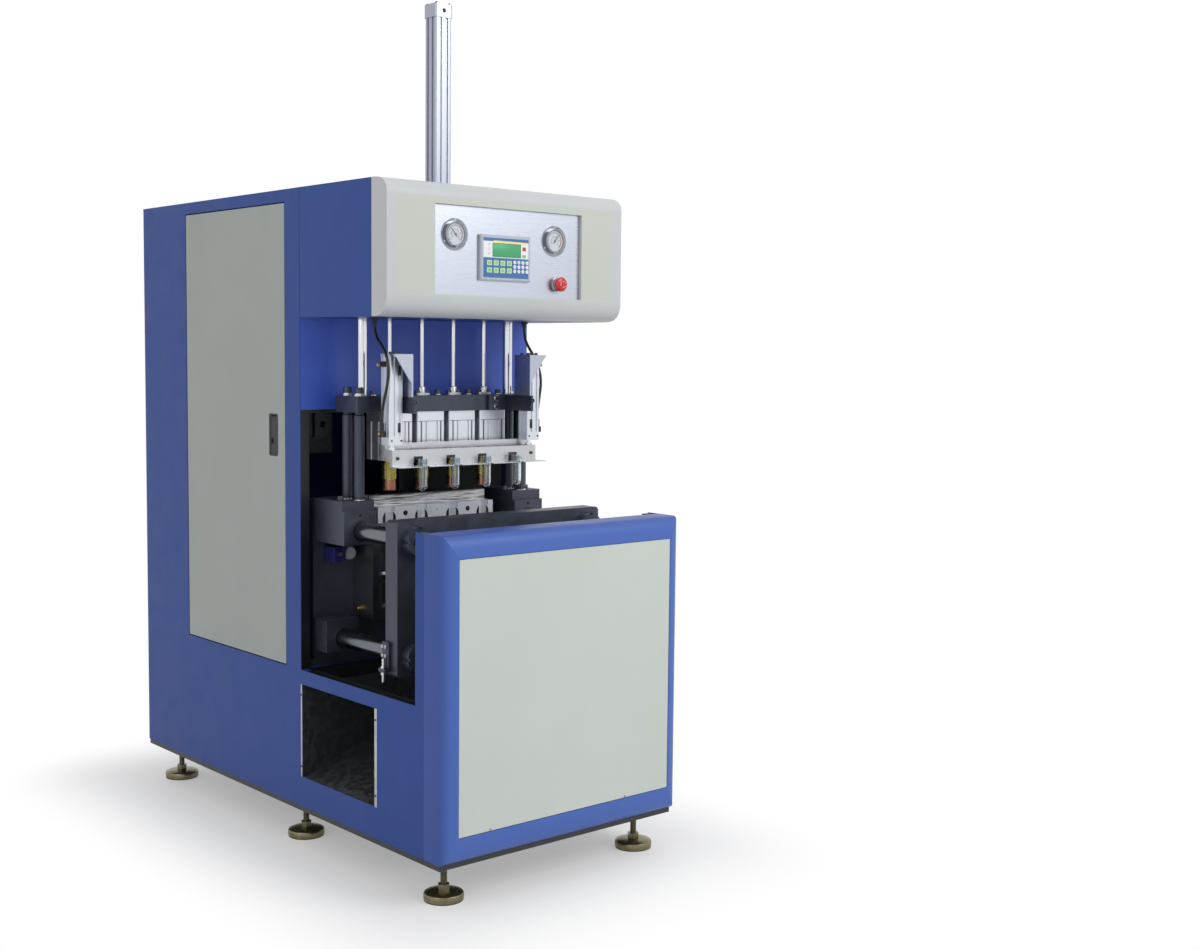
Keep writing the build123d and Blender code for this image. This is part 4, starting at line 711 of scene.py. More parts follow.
# Repeated parts, made with geometry nodes
class Forms(Tree):
    """A geometry tree that puts one form on every point of a mesh."""

    def __init__(self, name: str, sizes: dict[str, float]) -> None:
        """Starts the tree with a geometry input, one input for each size, and a material."""
        super().__init__(bpy.data.node_groups.new(name, "GeometryNodeTree"))
        face = self.tree.interface
        face.new_socket("Geometry", in_out="INPUT", socket_type="NodeSocketGeometry")
        for label, value in sizes.items():
            face.new_socket(label, in_out="INPUT", socket_type="NodeSocketFloat").default_value = value
        face.new_socket("Finish", in_out="INPUT", socket_type="NodeSocketMaterial")
        face.new_socket("Geometry", in_out="OUTPUT", socket_type="NodeSocketGeometry")
        self.size = self.tree.nodes.new("NodeGroupInput").outputs

    def circle(self, corners: object, radius: object) -> Socket:
        """Closed curve with so many corners."""
        return self.add("GeometryNodeCurvePrimitiveCircle", inputs={
            "Resolution": corners, "Radius": radius}).outputs["Curve"]

    def tube(self, kind: str, sizes: dict[str, object]) -> Socket:
        """Open cylinder or cone."""
        return self.add(f"GeometryNodeMesh{kind}", {"fill_type": "NONE"}, sizes).outputs["Mesh"]

    def shift(self, form: Socket, height: object) -> Socket:
        """Moves a form up along Z."""
        offset = self.add("ShaderNodeCombineXYZ", inputs={"Z": height})
        return self.add("GeometryNodeTransform", inputs={
            "Geometry": form, "Translation": offset.outputs["Vector"]}).outputs["Geometry"]

    def gather(self, forms: Iterable[Socket]) -> Socket:
        """Several forms as one."""
        whole = self.add("GeometryNodeJoinGeometry")
        for form in forms:
            self.tree.links.new(form, whole.inputs[0])
        return whole.outputs[0]

    def close(self, form: Socket) -> bpy.types.NodeTree:
        """Puts the form on every input point, turned to that point's way, and ends the tree."""
        way = self.add("GeometryNodeInputNamedAttribute", {"data_type": "FLOAT_VECTOR"}, {"Name": "way"})
        turn = self.add("FunctionNodeAlignRotationToVector", {"axis": "Z"}, {
            "Vector": way.outputs["Attribute"]})
        put = self.add("GeometryNodeInstanceOnPoints", inputs={
            "Points": self.size["Geometry"], "Instance": form, "Rotation": turn.outputs["Rotation"]})
        real = self.add("GeometryNodeRealizeInstances", inputs={"Geometry": put.outputs["Instances"]})
        dressed = self.add("GeometryNodeSetMaterial", inputs={
            "Geometry": real.outputs["Geometry"], "Material": self.size["Finish"]})
        self.add("NodeGroupOutput", inputs={0: dressed.outputs["Geometry"]})
        return self.tree


@cache
def screw_tree() -> bpy.types.NodeTree:
    """Tree of a round screw head with a bevelled edge and a hexagon socket."""
    forms = Forms("screw_heads", {"Radius": 0.008, "Height": 0.008, "Socket": 0.004, "Depth": 0.004})
    radius, height, socket, depth = (forms.size[label] for label in ("Radius", "Height", "Socket", "Depth"))
    sides = 20
    body_height = forms.maths("MULTIPLY", height, 0.85)
    top_radius = forms.maths("MULTIPLY", radius, 0.9)
    side = forms.tube("Cylinder", {"Vertices": sides, "Radius": radius, "Depth": body_height})
    edge = forms.tube("Cone", {"Vertices": sides, "Radius Top": top_radius, "Radius Bottom": radius,
                               "Depth": forms.maths("MULTIPLY", height, 0.15)})
    rims = forms.gather((forms.circle(sides, top_radius), forms.circle(6, socket)))
    top = forms.add("GeometryNodeFillCurve", inputs={"Curve": rims}).outputs["Mesh"]
    wall = forms.tube("Cylinder", {"Vertices": 6, "Radius": socket, "Depth": depth})
    inward = forms.add("GeometryNodeFlipFaces", inputs={"Mesh": wall}).outputs["Mesh"]
    base = forms.add("GeometryNodeMeshCircle", {"fill_type": "NGON"}, {
        "Vertices": 6, "Radius": socket}).outputs["Mesh"]
    half_depth = forms.maths("MULTIPLY", depth, 0.5)
    whole = forms.gather((
        forms.shift(side, forms.maths("MULTIPLY", body_height, 0.5)), forms.shift(edge, body_height),
        forms.shift(top, height), forms.shift(inward, forms.maths("SUBTRACT", height, half_depth)),
        forms.shift(base, forms.maths("SUBTRACT", height, depth))))
    merged = forms.add("GeometryNodeMergeByDistance", inputs={"Geometry": whole, "Distance": 0.00002})
    return forms.close(merged.outputs["Geometry"])


@cache
def ring_tree() -> bpy.types.NodeTree:
    """Tree of a ring of round or angular section; it makes threads."""
    forms = Forms("rings", {"Radius": 0.01, "Section": 0.001, "Corners": 4, "Facets": 32})
    path = forms.circle(forms.size["Facets"], forms.size["Radius"])
    section = forms.circle(forms.size["Corners"], forms.size["Section"])
    ring = forms.add("GeometryNodeCurveToMesh", inputs={"Curve": path, "Profile Curve": section})
    return forms.close(ring.outputs["Mesh"])


@cache
def bar_tree() -> bpy.types.NodeTree:
    """Tree of a small straight block; it makes scale marks, key caps and slots."""
    forms = Forms("bars", {"Width": 0.001, "Depth": 0.001, "Length": 0.004})
    size = forms.add("ShaderNodeCombineXYZ", inputs={
        "X": forms.size["Width"], "Y": forms.size["Depth"], "Z": forms.size["Length"]})
    block = forms.add("GeometryNodeMeshCube", inputs={"Size": size.outputs["Vector"]})
    return forms.close(block.outputs["Mesh"])


def scatter(name: str, tree: bpy.types.NodeTree, sizes: dict[str, float], finish: Finish,
            places: Sequence[Place], body: str = MACHINE) -> None:
    """Runs a tree on a set of points and keeps the result as a plain mesh.

    Args:
        name: the new piece's name.
        tree: geometry tree with named inputs.
        sizes: values for those inputs.
        finish: finish of the piece.
        places: each place with the direction that the form points there.
        body: body that it rides on.
    """
    points = bpy.data.meshes.new(f"{name}_points")
    points.from_pydata([spot for spot, _ in places], [], [])
    ways = points.attributes.new("way", "FLOAT_VECTOR", "POINT")
    for entry, (_, way) in zip(ways.data, places):
        entry.vector = way
    holder = new_object(f"{name}_holder", points)
    modifier = holder.modifiers.new("forms", "NODES")
    modifier.node_group = tree
    values = {"Finish": finish.material(), **{label: float(value) for label, value in sizes.items()}}
    for item in tree.interface.items_tree:
        if item.in_out == "INPUT" and item.name in values:
            modifier[item.identifier] = values[item.name]
    mesh = bpy.data.meshes.new_from_object(holder.evaluated_get(bpy.context.evaluated_depsgraph_get()))
    bpy.data.objects.remove(holder)
    closed = bmesh.new()
    closed.from_mesh(mesh)
    bmesh.ops.recalc_face_normals(closed, faces=closed.faces)
    closed.to_mesh(mesh)
    closed.free()
    mesh.name = name
    settle(new_object(name, mesh), finish, body)


def screws(name: str, thread: float, places: Sequence[Place], finish: Finish = STEEL, low: bool = False,
           body: str = MACHINE) -> None:
    """Cap screws with a hexagon socket.

    Args:
        name: the piece's name.
        thread: thread diameter, which gives the head its size.
        places: each place with the direction that the head looks.
        finish: their finish.
        low: whether they have a low head.
        body: body that they ride on.
    """
    height = thread * (0.55 if low else 1.0)
    sizes = {"Radius": thread * 0.78, "Height": height, "Socket": thread * 0.46, "Depth": height * 0.5}
    scatter(name, screw_tree(), sizes, finish, places, body)


def bars(name: str, size: Point, finish: Finish, places: Sequence[Place]) -> None:
    """Small straight blocks, by width, depth and length along their direction."""
    scatter(name, bar_tree(), dict(zip(("Width", "Depth", "Length"), size)), finish, places)


def numerals(name: str, entries: Iterable[tuple[str, Point]], height: float, finish: Finish) -> None:
    """Printed signs that face the operator.

    Args:
        name: the piece's name.
        entries: each sign with its middle on the surface.
        height: size of the figures.
        finish: the ink.
    """
    gathered = bmesh.new()
    for text, place in entries:
        data = bpy.data.curves.new(name, "FONT")
        data.body = text
        data.size = height * 1.4
        data.align_x = data.align_y = "CENTER"
        data.extrude = 0.00005
        data.resolution_u = 3
        holder = new_object(name, data)
        mesh = bpy.data.meshes.new_from_object(holder.evaluated_get(bpy.context.evaluated_depsgraph_get()))
        mesh.transform(Matrix.Translation(place) @ Matrix.Rotation(pi / 2, 4, "X"))
        gathered.from_mesh(mesh)
        bpy.data.objects.remove(holder)
    data = bpy.data.meshes.new(name)
    gathered.to_mesh(data)
    gathered.free()
    data.materials.clear()
    settle(new_object(name, data), finish, MACHINE)


# Studio
@dataclass
class Studio:
    """Camera, lamps, floor and background."""

    eye: Point = (-2.576, -3.8635, 1.407)
    yaw: float = radians(41.39)
    pitch: float = radians(-4.31)
    roll: float = radians(0.60)
    lens: float = 45.99
    rise: float = -0.0068
    floor_reach: float = 14.0
    footprint: Pair = (0.40, 0.83)
    fade_reach: float = 0.48
    floor_glow: float = 0.32
    ambient: float = 0.55
    target: Point = (0, 0, 1.0)
    lamps: tuple[tuple[str, Point, float, float], ...] = (
        ("key_lamp", (1.6, -4.2, 3.6), 2.4, 92.0), ("fill_lamp", (-4.2, -1.6, 2.8), 2.6, 26.0),
        ("top_lamp", (0.2, -0.6, 4.8), 2.4, 20.0))

    def camera(self) -> None:
        """Camera at the photograph's place, with its small roll and rise."""
        forward = Vector((sin(self.yaw) * cos(self.pitch), cos(self.yaw) * cos(self.pitch), sin(self.pitch)))
        right = Vector((cos(self.yaw), -sin(self.yaw), 0))
        up = right.cross(forward)
        level = right * cos(self.roll) + up * sin(self.roll)
        upright = up * cos(self.roll) - right * sin(self.roll)
        data = bpy.data.cameras.new("camera")
        data.lens = self.lens
        data.sensor_width = 36.0
        data.sensor_fit = "HORIZONTAL"
        data.shift_y = self.rise
        item = new_object("camera", data)
        aim = Matrix((level, upright, -forward)).transposed()
        item.matrix_world = Matrix.Translation(self.eye) @ aim.to_4x4()
        bpy.context.scene.camera = item

    def lamp(self, name: str, place: Point, size: float, power: float) -> None:
        """Soft square lamp aimed at the machine's middle."""
        data = bpy.data.lights.new(name, "AREA")
        data.shape = "SQUARE"
        data.size = size
        data.energy = power
        aim = (Vector(self.target) - Vector(place)).to_track_quat("-Z", "Y")
        new_object(name, data).matrix_world = Matrix.Translation(place) @ aim.to_matrix().to_4x4()

    def background(self) -> None:
        """World that is white to the camera and to reflections, and dimmer as a light."""
        world = bpy.data.worlds.new("studio")
        bpy.context.scene.world = world
        world.use_nodes = True
        tree = Tree(world.node_tree)
        path = tree.add("ShaderNodeLightPath").outputs
        seen = tree.maths("MAXIMUM", path["Is Camera Ray"], path["Is Glossy Ray"])
        seen = tree.maths("MAXIMUM", seen, path["Is Transmission Ray"])
        light = tree.add("ShaderNodeBackground", inputs={
            "Color": (1, 1, 1, 1), "Strength": tree.span(seen, (0, 1), (self.ambient, 1.0))})
        tree.add("ShaderNodeOutputWorld", inputs={"Surface": light.outputs["Background"]})

    def floor(self) -> None:
        """Pale floor that looks white from afar and keeps the machine's shadow."""
        reach = self.floor_reach
        data = bpy.data.meshes.new("floor")
        data.from_pydata([(-reach, -reach, 0), (reach, -reach, 0), (reach, reach, 0), (-reach, reach, 0)],
                         [], [(0, 1, 2, 3)])
        coat = Coat("studio_floor", "#F8F8F8")
        coat.put("Roughness", 0.6)
        glow = coat.add("ShaderNodeEmission", inputs={"Color": (1, 1, 1, 1), "Strength": 1.0})
        size = coat.vector("ABSOLUTE", coat.place())["Vector"]
        beyond = coat.vector("SUBTRACT", size, (*self.footprint, 0))["Vector"]
        away = coat.vector("LENGTH", coat.vector("MAXIMUM", beyond)["Vector"])["Value"]
        fade = coat.span(away, (0.0, self.fade_reach), (self.floor_glow, 1.0), smooth=True)
        path = coat.add("ShaderNodeLightPath").outputs
        seen = coat.maths("MAXIMUM", path["Is Camera Ray"], path["Is Glossy Ray"])
        share = coat.maths("MULTIPLY", fade, seen)
        both = coat.add("ShaderNodeMixShader", inputs={
            0: share, 1: coat.shader.outputs["BSDF"], 2: glow.outputs["Emission"]})
        data.materials.append(coat.close(both.outputs["Shader"]))
        new_object("floor", data)

    def build(self) -> None:
        """Makes the whole studio."""
        self.camera()
        self.background()
        self.floor()
        for lamp in self.lamps:
            self.lamp(*lamp)


# Sheet metal
@dataclass
class SheetBody:
    """Seams and fasteners of the cabinet's sheets."""

    half: float = 0.4
    wall_y: float = -0.1395
    rear: float = 0.8325
    low: float = 0.12
    head_low: float = 1.49
    top: float = 1.845
    seam: float = 0.0016
    proud: float = 0.0003
    screw_pitch: float = 0.2

    def seams(self) -> None:
        """Dark joint lines between the head and the cabinet, on both sides and over the roof."""
        piece = Piece("head_joint_seals", SEAL_RUBBER)
        front, back = self.wall_y - self.seam / 2, self.wall_y + self.seam / 2
        for x in (-self.half, self.half):
            piece.box((x, front, self.head_low), (x + self.proud * x / self.half, back, self.top))
        piece.box((-self.half, front, self.top), (self.half, back, self.top + self.proud))
        piece.build()

    def screws(self) -> None:
        """Pan heads round the rear sheet and along the roof's edges."""
        edge, margin = self.half - 0.022, 0.03
        steps = int((self.top - self.low) / self.screw_pitch)
        rise = (self.top - self.low - 2 * margin) / steps
        rows = [self.low + margin + i * rise for i in range(steps + 1)]
        rear = [(side * edge, self.rear, z) for z in rows for side in BOTH]
        rear += [(x, self.rear, z) for x in (-0.19, 0, 0.19) for z in (rows[0], rows[-1])]
        roof = [(side * edge, y, self.top) for y in (self.wall_y + 0.05, 0.18, 0.5, self.rear - 0.05)
                for side in BOTH]
        screws("sheet_screws", 0.005, facing(BACK, rear) + facing(UP, roof), FASTENER, low=True)

    def inlets(self) -> None:
        """Rubber grommets round the air and power inlets of the rear sheet."""
        piece = Piece("inlet_grommets", SEAL_RUBBER)
        for x, radius in ((-0.2, 0.017), (0.2, 0.013)):
            out = radius + 0.006
            piece.turned([(radius, self.rear), (out, self.rear), (out, self.rear + 0.002),
                          (out - 0.002, self.rear + 0.004), (radius, self.rear + 0.004)],
                         (x, 0.22), Axis.Y, closed=True)
        piece.build()

    def build(self) -> None:
        """Makes the seams, screws and inlets."""
        self.seams()
        self.screws()
        self.inlets()


@dataclass
class SideDoors:
    """Latch bezels of the two side doors."""

    half: float = 0.4
    latch: Pair = (0.0055, 1.16)
    dish: Pair = (0.019, 0.056)
    border: float = 0.004

    def build(self) -> None:
        """A raised black rim round each latch dish."""
        half_y, half_z = self.dish
        outer = rounded_outline(half_y + self.border, half_z + self.border, 0.006, self.latch)
        inner = rounded_outline(half_y, half_z, 0.002, self.latch)
        for side, body in zip(BOTH, ("left_door", "right_door")):
            piece = Piece(f"{body}_latch_bezel", BLACK_PLASTIC, body)
            piece.rim(outer, inner, Axis.X, side * self.half, side * (self.half + 0.0015))
            piece.build()


@dataclass
class FrontCover:
    """Pressed front cover, pillowed towards its panel with mitred corners, and the panel's fasteners.

    The bend gives, from the panel outwards, the share of the whole inset and the depth behind the front.
    """

    half: float = 0.4
    low: float = 0.12
    high: float = 0.95
    front: float = -0.8325
    back: float = -0.7385
    wall: float = 0.002
    opening: Point = (0.3605, 0.1885, 0.8915)
    recess: float = 0.008
    lip: float = 0.015
    bend: tuple[Pair, ...] = (
        (1, 0), (0.76, 0.0016), (0.55, 0.0036), (0.39, 0.0057), (0.28, 0.0082), (0.19, 0.0112),
        (0.116, 0.015), (0.056, 0.0195), (0.018, 0.0245), (0, 0.03))
    panel_face: float = -0.8315
    pin_x: Pair = (-0.26, 0.2)
    pin_z: float = 0.1935

    def ring(self, share: float, depth: float, lift: float) -> list[Point]:
        """Corners of the cover's section.

        Args:
            share: part of the whole inset, 1 at the panel and 0 at the cover's edge.
            depth: distance behind the cover's front.
            lift: how far the ring is moved inwards, never past the panel's opening.

        Returns:
            The four corners.
        """
        half, low, high = self.opening
        side, foot, roof = (min(share * whole + lift, whole)
                            for whole in (self.half - half, low - self.low, self.high - high))
        x, z0, z1 = self.half - side, self.low + foot, self.high - roof
        y = min(self.front + depth + lift, self.back)
        return [(-x, y, z0), (x, y, z0), (x, y, z1), (-x, y, z1)]

    def frame_line(self, grow: float) -> list[Pair]:
        """The panel's opening, grown on every side."""
        half, low, high = self.opening
        x, z0, z1 = half + grow, low - grow, high + grow
        return [(-x, z0), (x, z0), (x, z1), (-x, z1)]

    def build(self) -> None:
        """Bent skin with the panel's recess, in place of the plainer solid, and the panel's two screws."""
        stations = [*self.bend, (0, self.back - self.front)]
        rings = [self.ring(*station, 0) for station in stations]
        rings += [self.ring(*station, self.wall) for station in stations[::-1]]
        piece = Piece("pressed_cover", COVER_BLUE)
        for k in range(4):
            piece.loft([(ring[k], ring[(k + 1) % 4]) for ring in rings], closed=True)
        deep, outer = self.front + self.recess, self.frame_line(self.wall)
        piece.rim(outer, self.frame_line(0), Axis.Y, self.front + self.wall, deep)
        piece.rim(outer, self.frame_line(-self.lip), Axis.Y, deep, deep + self.wall)
        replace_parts(piece.build(), "lower_cover")
        pins = [(x, self.panel_face, self.pin_z) for x in self.pin_x]
        screws("panel_screws", 0.0035, facing(FRONT, pins), FASTENER, low=True)


# Head
@dataclass
class ControlPlate:
    """Gauges, key panel and stop button of the head's steel plate."""

    face: float = -0.5605
    gauges: Pair = (-0.182, 0.157)
    gauge_z: float = 1.709
    dial_y: float = -0.5645
    dial_radius: float = 0.0297
    print_depth: float = 0.0002
    panel: Pair = (-0.018, 1.653)
    film_y: float = -0.5715
    stop: Pair = (0.170, 1.590)

    def marks(self, radius: float, long: bool) -> list[Place]:
        """Long or short marks of both dials, fifty steps over three quarters of the circle."""
        places = []
        for centre, step in product(self.gauges, range(51)):
            if (step % 5 == 0) is long:
                angle = radians(-135 + 270 * step / 50)
                way = (sin(angle), 0, cos(angle))
                spot = (centre + radius * way[0], self.dial_y - 0.0004, self.gauge_z + radius * way[2])
                places.append((spot, way))
        return places

    def dials(self) -> None:
        """White dials with a scale from 0 to 10, a red sector, a black ring of painted shadow round the edge
        where the bezel shades the dial, and a window.
        """
        ink = self.dial_y - 0.0005
        layer = (ink, ink + self.print_depth)
        centres = [(x, self.gauge_z) for x in self.gauges]
        dial = washer(0.0012, self.dial_radius, self.dial_y, self.dial_y - 0.0003)
        revolve("gauge_dials", DIAL_WHITE, dial, centres, Axis.Y, 64)
        sector = Piece("dial_sectors", DIAL_RED)
        ring = Piece("dial_arcs_and_painted_rim_shadow", PRINT_BLACK)
        for centre in centres:
            sector.band(centre, (0.0205, 0.0222), (45, -45), Axis.Y, *layer)
            ring.band(centre, (0.0224, 0.0237), (225, -45), Axis.Y, *layer)
            # Painted shadow: a black ring round the dial's edge, where the bezel shades it.
            ring.turned(washer(0.0280, 0.0297, *layer), centre, Axis.Y, 64, closed=True)
            ring.band(centre, (0.0119, 0.0131), (225, -45), Axis.Y, *layer)
        sector.build()
        ring.build()
        window = washer(0, 0.0301, self.face - 0.0100, self.face - 0.0106)
        revolve("gauge_windows", GLASS, window, centres, Axis.Y, 64, closed=False)
        bars("dial_long_marks", (0.0006, 0.0001, 0.0038), PRINT_BLACK, self.marks(0.0248, True))
        bars("dial_short_marks", (0.0003, 0.0001, 0.002), PRINT_BLACK, self.marks(0.0240, False))
        figures = [(str(step), (x + 0.0172 * sin(radians(-135 + 27 * step)), ink,
                                self.gauge_z + 0.0172 * cos(radians(-135 + 27 * step))))
                   for x in self.gauges for step in range(0, 11, 2)]
        numerals("dial_figures", figures, 0.0030, PRINT_BLACK)

    def flanges(self) -> None:
        """Three pan heads in each gauge flange."""
        reach, turns = 0.0388, [radians(turn) for turn in (90, 210, 330)]
        spots = [(x + reach * cos(turn), self.face - 0.002, self.gauge_z + reach * sin(turn))
                 for x in self.gauges for turn in turns]
        screws("gauge_flange_screws", 0.0038, facing(FRONT, spots), BRIGHT_FASTENER, low=True)

    def fields(self, name: str, finish: Finish, lift: float, boxes: Iterable[tuple[float, ...]]) -> None:
        """Printed fields on the key film.

        Args:
            name: the piece's name.
            finish: the ink.
            lift: how far the print stands out.
            boxes: left, right, low and high edge of each, in millimetres from the film's middle.
        """
        x, z = self.panel
        piece = Piece(name, finish)
        for box in boxes:
            left, right, low, high = (edge / 1000 for edge in box)
            piece.box((x + left, self.film_y - lift, z + low), (x + right, self.film_y, z + high))
        piece.build()

    def key_panel(self) -> None:
        """Print, screen and key caps of the key panel."""
        x, z = self.panel
        depth = self.print_depth
        self.fields("film_white_print", FILM_WHITE, 0.0001, (
            (-76.6, -46.4, 0.4, 44), (50.4, 76.6, 0.4, 44), (-46.4, 50.4, 0.4, 2.8), (-46.4, 50.4, 39.2, 44)))
        yellow = Piece("film_yellow_print", FILM_YELLOW)
        outline = [(-0.0465, 0.0395), (0.0752, 0.0395), (0.0752, 0.0445), (-0.040, 0.0462), (-0.0465, 0.0440)]
        yellow.prism([(x + a, z + b) for a, b in outline], Axis.Y, self.film_y - depth, self.film_y)
        yellow.build()
        signs = [box for low in (33, 21, 9)
                 for box in ((-62.5, -54.5, low, low + 0.8), (-58, -55.5, low + 3, low + 5.2))]
        self.fields("film_red_print", DIAL_RED, depth, [(55.5, 67.5, 22, 32.5), *signs])
        self.fields("film_green_print", KEY_GREEN, depth, [(55.5, 67.5, 3.5, 11.5)])
        screen = Piece("screen_window", SCREEN_GREEN)
        screen.box((x - 0.0458, self.film_y, z + 0.0032), (x + 0.0498, self.film_y + 0.0006, z + 0.0388),
                   0.0002)
        screen.build()
        middle = (x + 0.002, z + 0.021)
        bezel = Piece("screen_border", PRINT_BLACK)
        bezel.rim(rounded_outline(0.0484, 0.0184, 0.001, middle),
                  rounded_outline(0.0474, 0.0174, 0.0006, middle), Axis.Y, self.film_y - 0.00025, self.film_y)
        bezel.build()
        caps = [(x - 0.057 + c * 0.0224, self.film_y - 0.00095, z - 0.0135 - r * 0.0196)
                for c in range(4) for r in range(2)]
        bars("key_caps", (0.0164, 0.0134, 0.0003), KEY_PALE, facing(FRONT, caps))
        bars("key_signs", (0.0102, 0.0082, 0.0002), KEY_GREEN,
             facing(FRONT, [(a, b - 0.0002, c) for a, b, c in caps]))
        bars("key_sign_bars", (0.001, 0.0052, 0.0002), KEY_PALE,
             facing(FRONT, [(a + d, b - 0.0003, c) for a, b, c in caps for d in (-0.002, 0.002)]))

    def number_keys(self) -> None:
        """White number keys in four columns and three rows."""
        x, z, face = self.panel[0] + 0.029, self.panel[1] - 0.0096, self.film_y - 0.0008
        labels = ("7", "8", "9", "+", "4", "5", "6", "-", "1", "2", "3", "0")
        centres = [(x + k % 4 * 0.014, z - k // 4 * 0.012) for k in range(len(labels))]
        top = face - 0.0005
        profile = [(0, face), (0.0051, face), (0.0051, face - 0.0002), (0.0047, top), (0, top)]
        revolve("number_keys", FILM_WHITE, profile, centres, Axis.Y, 20, closed=False)
        figures = [(label, (a, face - 0.0006, b)) for label, (a, b) in zip(labels, centres)]
        numerals("number_key_figures", figures, 0.0042, INK_BLUE)

    def stop_ring(self) -> None:
        """Bright ring under the stop button, and the turning marks on its cap."""
        face = self.face
        top = face - 0.0045
        profile = [(0.0161, face), (0.0190, face), (0.0190, face - 0.003), (0.0176, top), (0.0161, top)]
        revolve("stop_ring", GAUGE_CHROME, profile, [self.stop], Axis.Y)
        marks = Piece("stop_turn_marks", DIAL_WHITE, "stop_button")
        front = face - 0.0271
        for start in (20, 140, 260):
            marks.band(self.stop, (0.0078, 0.0088), (start + 75, start), Axis.Y, front - 0.0004,
                       front + 0.0012)
        marks.build()

    def build(self) -> None:
        """Makes the gauges' dials and screws, the key panel and the stop button's ring."""
        self.dials()
        self.flanges()
        self.key_panel()
        self.number_keys()
        self.stop_ring()


# Stretching and blowing
@dataclass
class StretchUnit:
    """Cylinder on the roof that drives the stretch rods."""

    roof: float = 1.845
    top: float = 2.38
    foot: float = 0.01

    def build(self) -> None:
        """Tie screws of the end cap, and a foot plate with its bolts."""
        ties = [(sx * 0.0215, CAVITY_Y + sy * 0.0215, self.top) for sx, sy in CORNERS]
        screws("stretch_cap_screws", 0.006, facing(UP, ties), low=True)
        plate = Piece("stretch_foot_plate", STEEL)
        for side in BOTH:
            plate.box((-0.05, CAVITY_Y + side * 0.05, self.roof),
                      (0.05, CAVITY_Y + side * 0.0292, self.roof + self.foot), 0.001)
        plate.build()
        bolts = [(sx * 0.04, CAVITY_Y + sy * 0.04, self.roof + self.foot) for sx, sy in CORNERS]
        screws("stretch_foot_screws", 0.008, facing(UP, bolts))


@dataclass
class BlowStation:
    """Cylinder bar over the moulds, with its screws and rod guides."""

    bar_top: float = 1.276
    column_x: float = 0.284
    column_y: Pair = (-0.2585, -0.1985)
    column_foot: float = 0.988
    foot_face: float = -0.2935
    screw_x: float = 0.1655
    screw_z: Pair = (1.2657, 1.2417)
    barrel_face: float = -0.276
    barrel_z: Pair = (1.095, 1.203)
    slot_x: float = 0.0335

    def column_screws(self) -> None:
        """Large cap screws over the columns, each on a flat washer and a spring washer."""
        top = self.bar_top
        centres = [(x, y) for y in self.column_y for x in (-self.column_x, self.column_x)]
        washers = Piece("column_washers", BRIGHT_FASTENER)
        for centre in centres:
            washers.turned(washer(0.0085, 0.0155, top, top + 0.003), centre, closed=True)
            washers.turned(washer(0.0085, 0.0132, top + 0.0032, top + 0.0072), centre, closed=True)
        washers.build()
        screws("column_screws", 0.016, facing(UP, [(x, y, top + 0.0072) for x, y in centres]))
        low = self.column_foot
        revolve("column_foot_rings", BRIGHT_FASTENER,
                [(0.0122, low), (0.0168, low), (0.0168, low + 0.0025), (0.0122, low + 0.004)], centres)

    def bar_screws(self) -> None:
        """Cap screws along the bar, between the stretch rods."""
        top, thick = self.bar_top, 0.0025
        centres = [(x, CAVITY_Y) for x in (-0.22, -0.11, 0, 0.11, 0.22)]
        revolve("bar_washers", BRIGHT_FASTENER, washer(0.0055, 0.011, top, top + thick), centres)
        screws("bar_screws", 0.0112, facing(UP, [(x, y, top + thick) for x, y in centres]))

    def rod_guides(self) -> None:
        """Bright guide bushes of the stretch rods, each held by two black screws on a flat foot."""
        piece = Piece("rod_guides", GROUND_STEEL)
        low, high = self.bar_top + 0.006, self.bar_top + 0.0235
        for centre in ((x, CAVITY_Y) for x in CAVITIES):
            piece.rim(rounded_outline(0.0228, 0.0125, 0.006, centre),
                      rounded_outline(0.0064, 0.0064, 0.0063, centre), Axis.Z, self.bar_top, low)
            piece.turned([(0.0064, low), (0.0105, low), (0.0105, high - 0.002), (0.0095, high),
                          (0.0064, high)], centre, closed=True)
        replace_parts(piece.build(), "rod_collars")
        spots = [(x + d, CAVITY_Y, low) for x in CAVITIES for d in (-0.0165, 0.0165)]
        screws("rod_guide_screws", 0.0078, facing(UP, spots))

    def arm_screws(self) -> None:
        """Ringed cap screws that hold the loader's arms on the bar's face."""
        y = self.foot_face
        centres = list(product((-self.screw_x, self.screw_x), self.screw_z))
        profile = [(0.0070, y), (0.0098, y), (0.0098, y - 0.0025), (0.0086, y - 0.0038), (0.0070, y - 0.0038)]
        revolve("arm_screw_rings", BRIGHT_FASTENER, profile, centres, Axis.Y)
        screws("arm_screws", 0.0086, facing(FRONT, [(x, y, z) for x, z in centres]))
        screws("arm_nose_screws", 0.008, facing(FRONT, mirrored([(0.204, -0.4120, 1.262)])), low=True)

    def barrel_slots(self) -> None:
        """Shadowed slots down the front of each blowing cylinder, and the joint under its cap."""
        (low, high), y = self.barrel_z, self.barrel_face
        slots = [(x + side * self.slot_x, y, (low + high) / 2) for x in CAVITIES for side in BOTH]
        bars("barrel_slots", (0.0042, 0.0005, high - low), SLOT_GREY, facing(UP, slots))
        joints = [(x, y, high) for x in CAVITIES]
        bars("barrel_joints", (0.0905, 0.0005, 0.0014), SLOT_GREY, facing(UP, joints))

    def build(self) -> None:
        """Makes all that is screwed on the bar, and the slots of the cylinders below it."""
        self.barrel_slots()
        self.column_screws()
        self.bar_screws()
        self.rod_guides()
        self.arm_screws()


